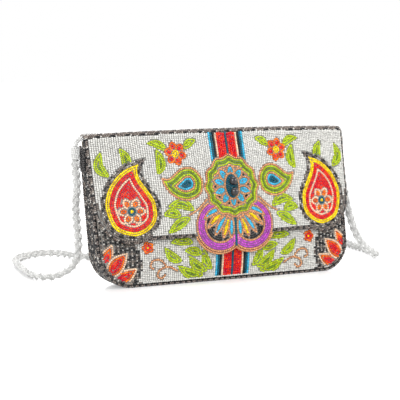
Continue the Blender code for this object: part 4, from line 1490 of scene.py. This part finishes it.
def flap_sheet(inset, end_at, depth, crowned=1, pucker=0.0):
    """How a sheet lies under the flap's face, from its lobed edge to an end near the hinge."""
    lower_width = flap_half_width(FLAP_EDGE_HEIGHT)

    def place(across, along):
        share = (2 * across - 1) * (1 - inset / lower_width)
        low = flap_edge_z(share * lower_width, inset)
        top = end_at(share * flap_half_width(TURN_Z))
        height = low + (top - low) * along
        x = share * flap_half_width(height)
        spot, x_way, z_way, out = on_face(lambda x, z: flap_face(x, z, crowned), x, height, depth, 1)
        return puckered(spot, out, x, height, along, pucker, 3.0)

    return place


cloth_shell("flap_backing_cloth", (140, 40), flap_sheet(RIM_INSET, lambda x: STRIP_START, CLOTH_DEPTH),
            CLOTH_THICKNESS, pale_cloth, (0, -1, 0), "flap", "white_beads")

# Fold strip: dark beads in rows along the fold, on black cloth, from the top of the flap's
# front back to the hinge.
STRIP_ROW = 0.00196
STRIP_ROWS = 14
STRIP_PITCH = GUSSET_BEAD * 0.84
STRIP_SETBACK = 0.0005
PALE_ROW = 1
# The silver beads in both lots are partly painted highlights, glints of the lamps among the dark beads
PALE_LOT = (GREIGE, TAUPE, SILVER)
STRIP_LOT = (TAUPE, GREIGE, BLACK, TAUPE, JET, SILVER, TAUPE, BLACK)

strip_beads = []
for row in range(STRIP_ROWS):
    height = STRIP_START + (row + 0.55) * STRIP_ROW
    reach = flap_half_width(height) - RIM_INSET
    mix = PALE_LOT if row == PALE_ROW else STRIP_LOT
    for index, x in enumerate(np.linspace(-1, 1, int(2 * reach / STRIP_PITCH)) * reach):
        if height > flap_end(x) - GUSSET_BEAD / 2:
            continue
        spot, across, up, out = on_face(flap_face, x, height, GUSSET_BEAD / 2, 1)
        colour, finish = mix[(index * 3 + row) % len(mix)]
        strip_beads.append(bead(spot, across, out, GUSSET_BEAD, GUSSET_PITCH, colour, finish))
fit(string_beads("fold_strip_beading", strip_beads, bead_finishes), "flap", "dark_beads", "fold_strip")


def strip_place(across, along):
    x = (2 * across - 1) * (flap_half_width(TURN_Z) - RIM_INSET)
    height = STRIP_START + (flap_end(x) - STRIP_START) * along - STRIP_SETBACK * along
    return Vector(on_face(flap_face, x, height, CLOTH_DEPTH, 1)[0])


cloth_shell("fold_strip_backing_cloth", (80, 16), strip_place, CLOTH_THICKNESS, black_cloth, (0, -0.5, 1),
            "flap", "dark_beads")

# Flap lining: one piece of dark satin over the whole underside of the flap. It is glued round
# the flap's board at its edges, and puckers softly between them.
LINING_SETBACK = 0.0004

cloth_shell("flap_satin_lining", (140, 60),
            flap_sheet(RIM_INSET, lambda x: flap_end(x) - LINING_SETBACK, PANEL_STACK - LINING_THICKNESS, 0,
                       PUCKER),
            LINING_THICKNESS, satin, (0, -1, 0), "flap", "satin_lining", "flap_lining")

# Flap edging: three strings of gunmetal beads sewn over the flap's raw rim, from the hinge down
# one side, along the lobes and up the other. Round the middle lobes they are copper.
EDGING_BEAD = 0.00150
EDGING_PITCH = 0.00152
EDGING_REACH = 0.00092
EDGING_ANGLES = (-58, 0, 58)
EDGING_CORE = 0.0008
EDGING_CORE_STEP = 0.0015
SIDE_START = FLAP_EDGE_HEIGHT + 0.026
COPPER_REACH = 0.0355
COPPER_TOP = 0.060
LEFT_END = -0.1
# Paler beads at the left end are painted light, where the lamps fall on that side of the edging
LIT_LEFT_END_LOT = (GREIGE, TAUPE, SILVER, TAUPE, BLACK)
EDGING_LOT = (TAUPE, BLACK, TAUPE, JET, GREIGE)


def on_rim(x, height):
    """A place on the flap's face at its rim, with the way out from it."""
    spot, across, up, out = on_face(flap_face, x, height, 0, 1)
    return (*spot, *out)


right_side = np.array([on_rim(flap_half_width(height) - FLAP_EDGE_RADIUS, height) for height
                       in np.linspace(flap_end(flap_half_width(TURN_Z)), SIDE_START, 90)])
left_side = right_side * (-1, 1, 1, -1, 1, 1)
nominal = flap_half_width(FLAP_EDGE_HEIGHT)
lower_edge = []
for x in (nominal - FLAP_EDGE_RADIUS) * np.sin(np.linspace(-pi / 2, pi / 2, 500)):
    z = flap_edge_z(x, FLAP_EDGE_RADIUS)
    if z < SIDE_START:
        lower_edge.append(on_rim(x * flap_half_width(z) / nominal, z))
rim = np.concatenate([left_side, lower_edge, right_side[::-1]])
normals = rim[:, 3:]
inwards = np.where(rim[:, 2:3] <= TURN_Z, np.array([[0, -1, 0]]), normals)
middle_line = rim[:, :3] - inwards * PANEL_STACK / 2
thread_way = unit(np.gradient(middle_line, axis=0))
away = unit(np.cross(thread_way, normals))
edging_beads = []
for string, angle in enumerate(EDGING_ANGLES):
    out = unit(turned_way(away, normals, radians(angle)))
    strung = middle_line + out * EDGING_REACH
    along = lengths(strung)
    goals = np.arange(EDGING_PITCH * (0.5 + string % 2 / 2), along[-1], EDGING_PITCH)
    lots = [along_line(goals, along, values) for values in (strung, thread_way, out)]
    for index, (spot, way, facing_way) in enumerate(zip(*lots)):
        mix = LIT_LEFT_END_LOT if spot[0] < LEFT_END else EDGING_LOT
        at_lobe = abs(spot[0]) < COPPER_REACH and spot[2] < COPPER_TOP
        colour, finish = COPPER if at_lobe else mix[(index * 7 + string * 3) % len(mix)]
        edging_beads.append(bead(spot, way, facing_way, EDGING_BEAD, EDGING_PITCH * STRING_FILL, colour,
                                 finish))
rim_core = tube_arrays(even_steps(middle_line, EDGING_CORE_STEP), EDGING_CORE, 1)
fit(string_beads("flap_bead_edging", edging_beads, bead_finishes + [dark_thread], (*rim_core, TAPE_THREAD)),
    "flap", "dark_beads", "flap_edging")

# Two large round beads of polished black stone, a little flat. Each is drilled through and sewn
# to the flap by its hole, one above the other.
STONE_RADIUS = 0.0036
STONE_FLATNESS = 0.8
DRILL_RADIUS = 0.00055
STONE = display(36, 34, 38)


def spun_piece(name, profile, turn, finish, segments=40):
    """A piece turned from a profile of (radius, height) round Z, then laid by a matrix."""
    builder = bmesh.new()
    vertices = [builder.verts.new((radius, 0, height)) for radius, height in profile]
    edges = [builder.edges.new(pair) for pair in zip(vertices, vertices[1:])]
    bmesh.ops.spin(builder, geom=vertices + edges, cent=(0, 0, 0), axis=(0, 0, 1), angle=2 * pi,
                   steps=segments, use_merge=True)
    bmesh.ops.remove_doubles(builder, verts=builder.verts, dist=1e-6)
    bmesh.ops.recalc_face_normals(builder, faces=builder.faces)
    bmesh.ops.transform(builder, matrix=turn, verts=builder.verts)
    return built_piece(name, builder, finish)


stone, tree = new_finish("polished_black_stone", STONE, 0.05, 0.6)
clouds = noise_grain(tree, 500)
shade(tree, {"Coat Weight": 1.0, "Base Color": toned(tree, clouds, STONE, 0.6, 1.5)})
drill_angle = np.arcsin(DRILL_RADIUS / STONE_RADIUS)
round_profile = [(STONE_RADIUS * sin(angle), STONE_RADIUS * cos(angle))
                 for angle in np.linspace(drill_angle, pi - drill_angle, 25)]
for node in ("upper_bead", "lower_bead"):
    low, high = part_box(node)
    place = Matrix.Translation((low + high) / 2) @ Matrix.Diagonal((1, STONE_FLATNESS, 1, 1))
    stone_bead = spun_piece("round_" + node, round_profile + round_profile[:1], place, stone)
    fit(stone_bead, "flap", "dark_beads", node)

# Magnetic snap: a plated steel stud in the flap and its socket in the front, pressed from sheet
# with rolled rims. A washer behind the cloth holds each.
SNAP_HEIGHT = 0.0550
SNAP_RADIUS = 0.0080
SOCKET_STAND_OFF = CLEARANCE
STUD_STAND_OFF = FLAP_GAP - CLEARANCE - 0.0005
PLATED_STEEL = display(158, 155, 149)
SOCKET_PROFILE = ((0, 0.00055), (0.0010, 0.0005), (0.0014, 0.0004), (0.0037, 0.0004), (0.0041, 0.0006),
                  (0.0042, 0.0010), (0.0045, 0.0012), (0.0055, 0.0012), (0.0060, 0.0009), (0.0073, 0.0008),
                  (0.0078, 0.0006), (0.0080, 0.0003), (0.0078, 0.0), (0, 0))
STUD_PROFILE = ((0, 0.0005), (0.0078, 0.0005), (0.0080, 0.0003), (0.0077, 0.00005), (0.0070, 0.0),
                (0.0065, 0.0001), (0.0044, 0.0001), (0.0038, 0.0), (0.0035, -0.0002), (0.0034, -0.0005),
                (0.0031, -0.0007), (0.0015, -0.0007), (0.0012, -0.0005), (0, -0.0005))

plated_steel, tree = new_finish("plated_steel", PLATED_STEEL, 0.32, 1.0)
wear = noise_grain(tree, 420, 5)
gloss = add_node(tree, "MapRange", {"To Min": 0.22, "To Max": 0.46, "Value": wear}).outputs["Result"]
shade(tree, {"Roughness": gloss, "Base Color": toned(tree, wear, PLATED_STEEL, 0.72, 1)})


def snap_place(stand_off):
    """A place on the snap's axis, so far out from the front's face, with Z pointing out."""
    rise = front_y(0, SNAP_HEIGHT + SNAP_RADIUS) - front_y(0, SNAP_HEIGHT - SNAP_RADIUS)
    tilt = pi / 2 - atan2(rise, 2 * SNAP_RADIUS)
    return (Matrix.Translation((0, front_y(0, SNAP_HEIGHT), SNAP_HEIGHT)) @ Matrix.Rotation(tilt, 4, "X")
            @ Matrix.Translation((0, 0, stand_off)))


for node, profile, stand_off, body in (("snap_socket", SOCKET_PROFILE, SOCKET_STAND_OFF, "body"),
                                       ("snap_stud", STUD_PROFILE, STUD_STAND_OFF, "flap")):
    snap_half = spun_piece("pressed_" + node, profile, snap_place(stand_off), plated_steel, 48)
    fit(snap_half, body, "steel", node)
refinish(("front_washer", "flap_washer"), plated_steel)
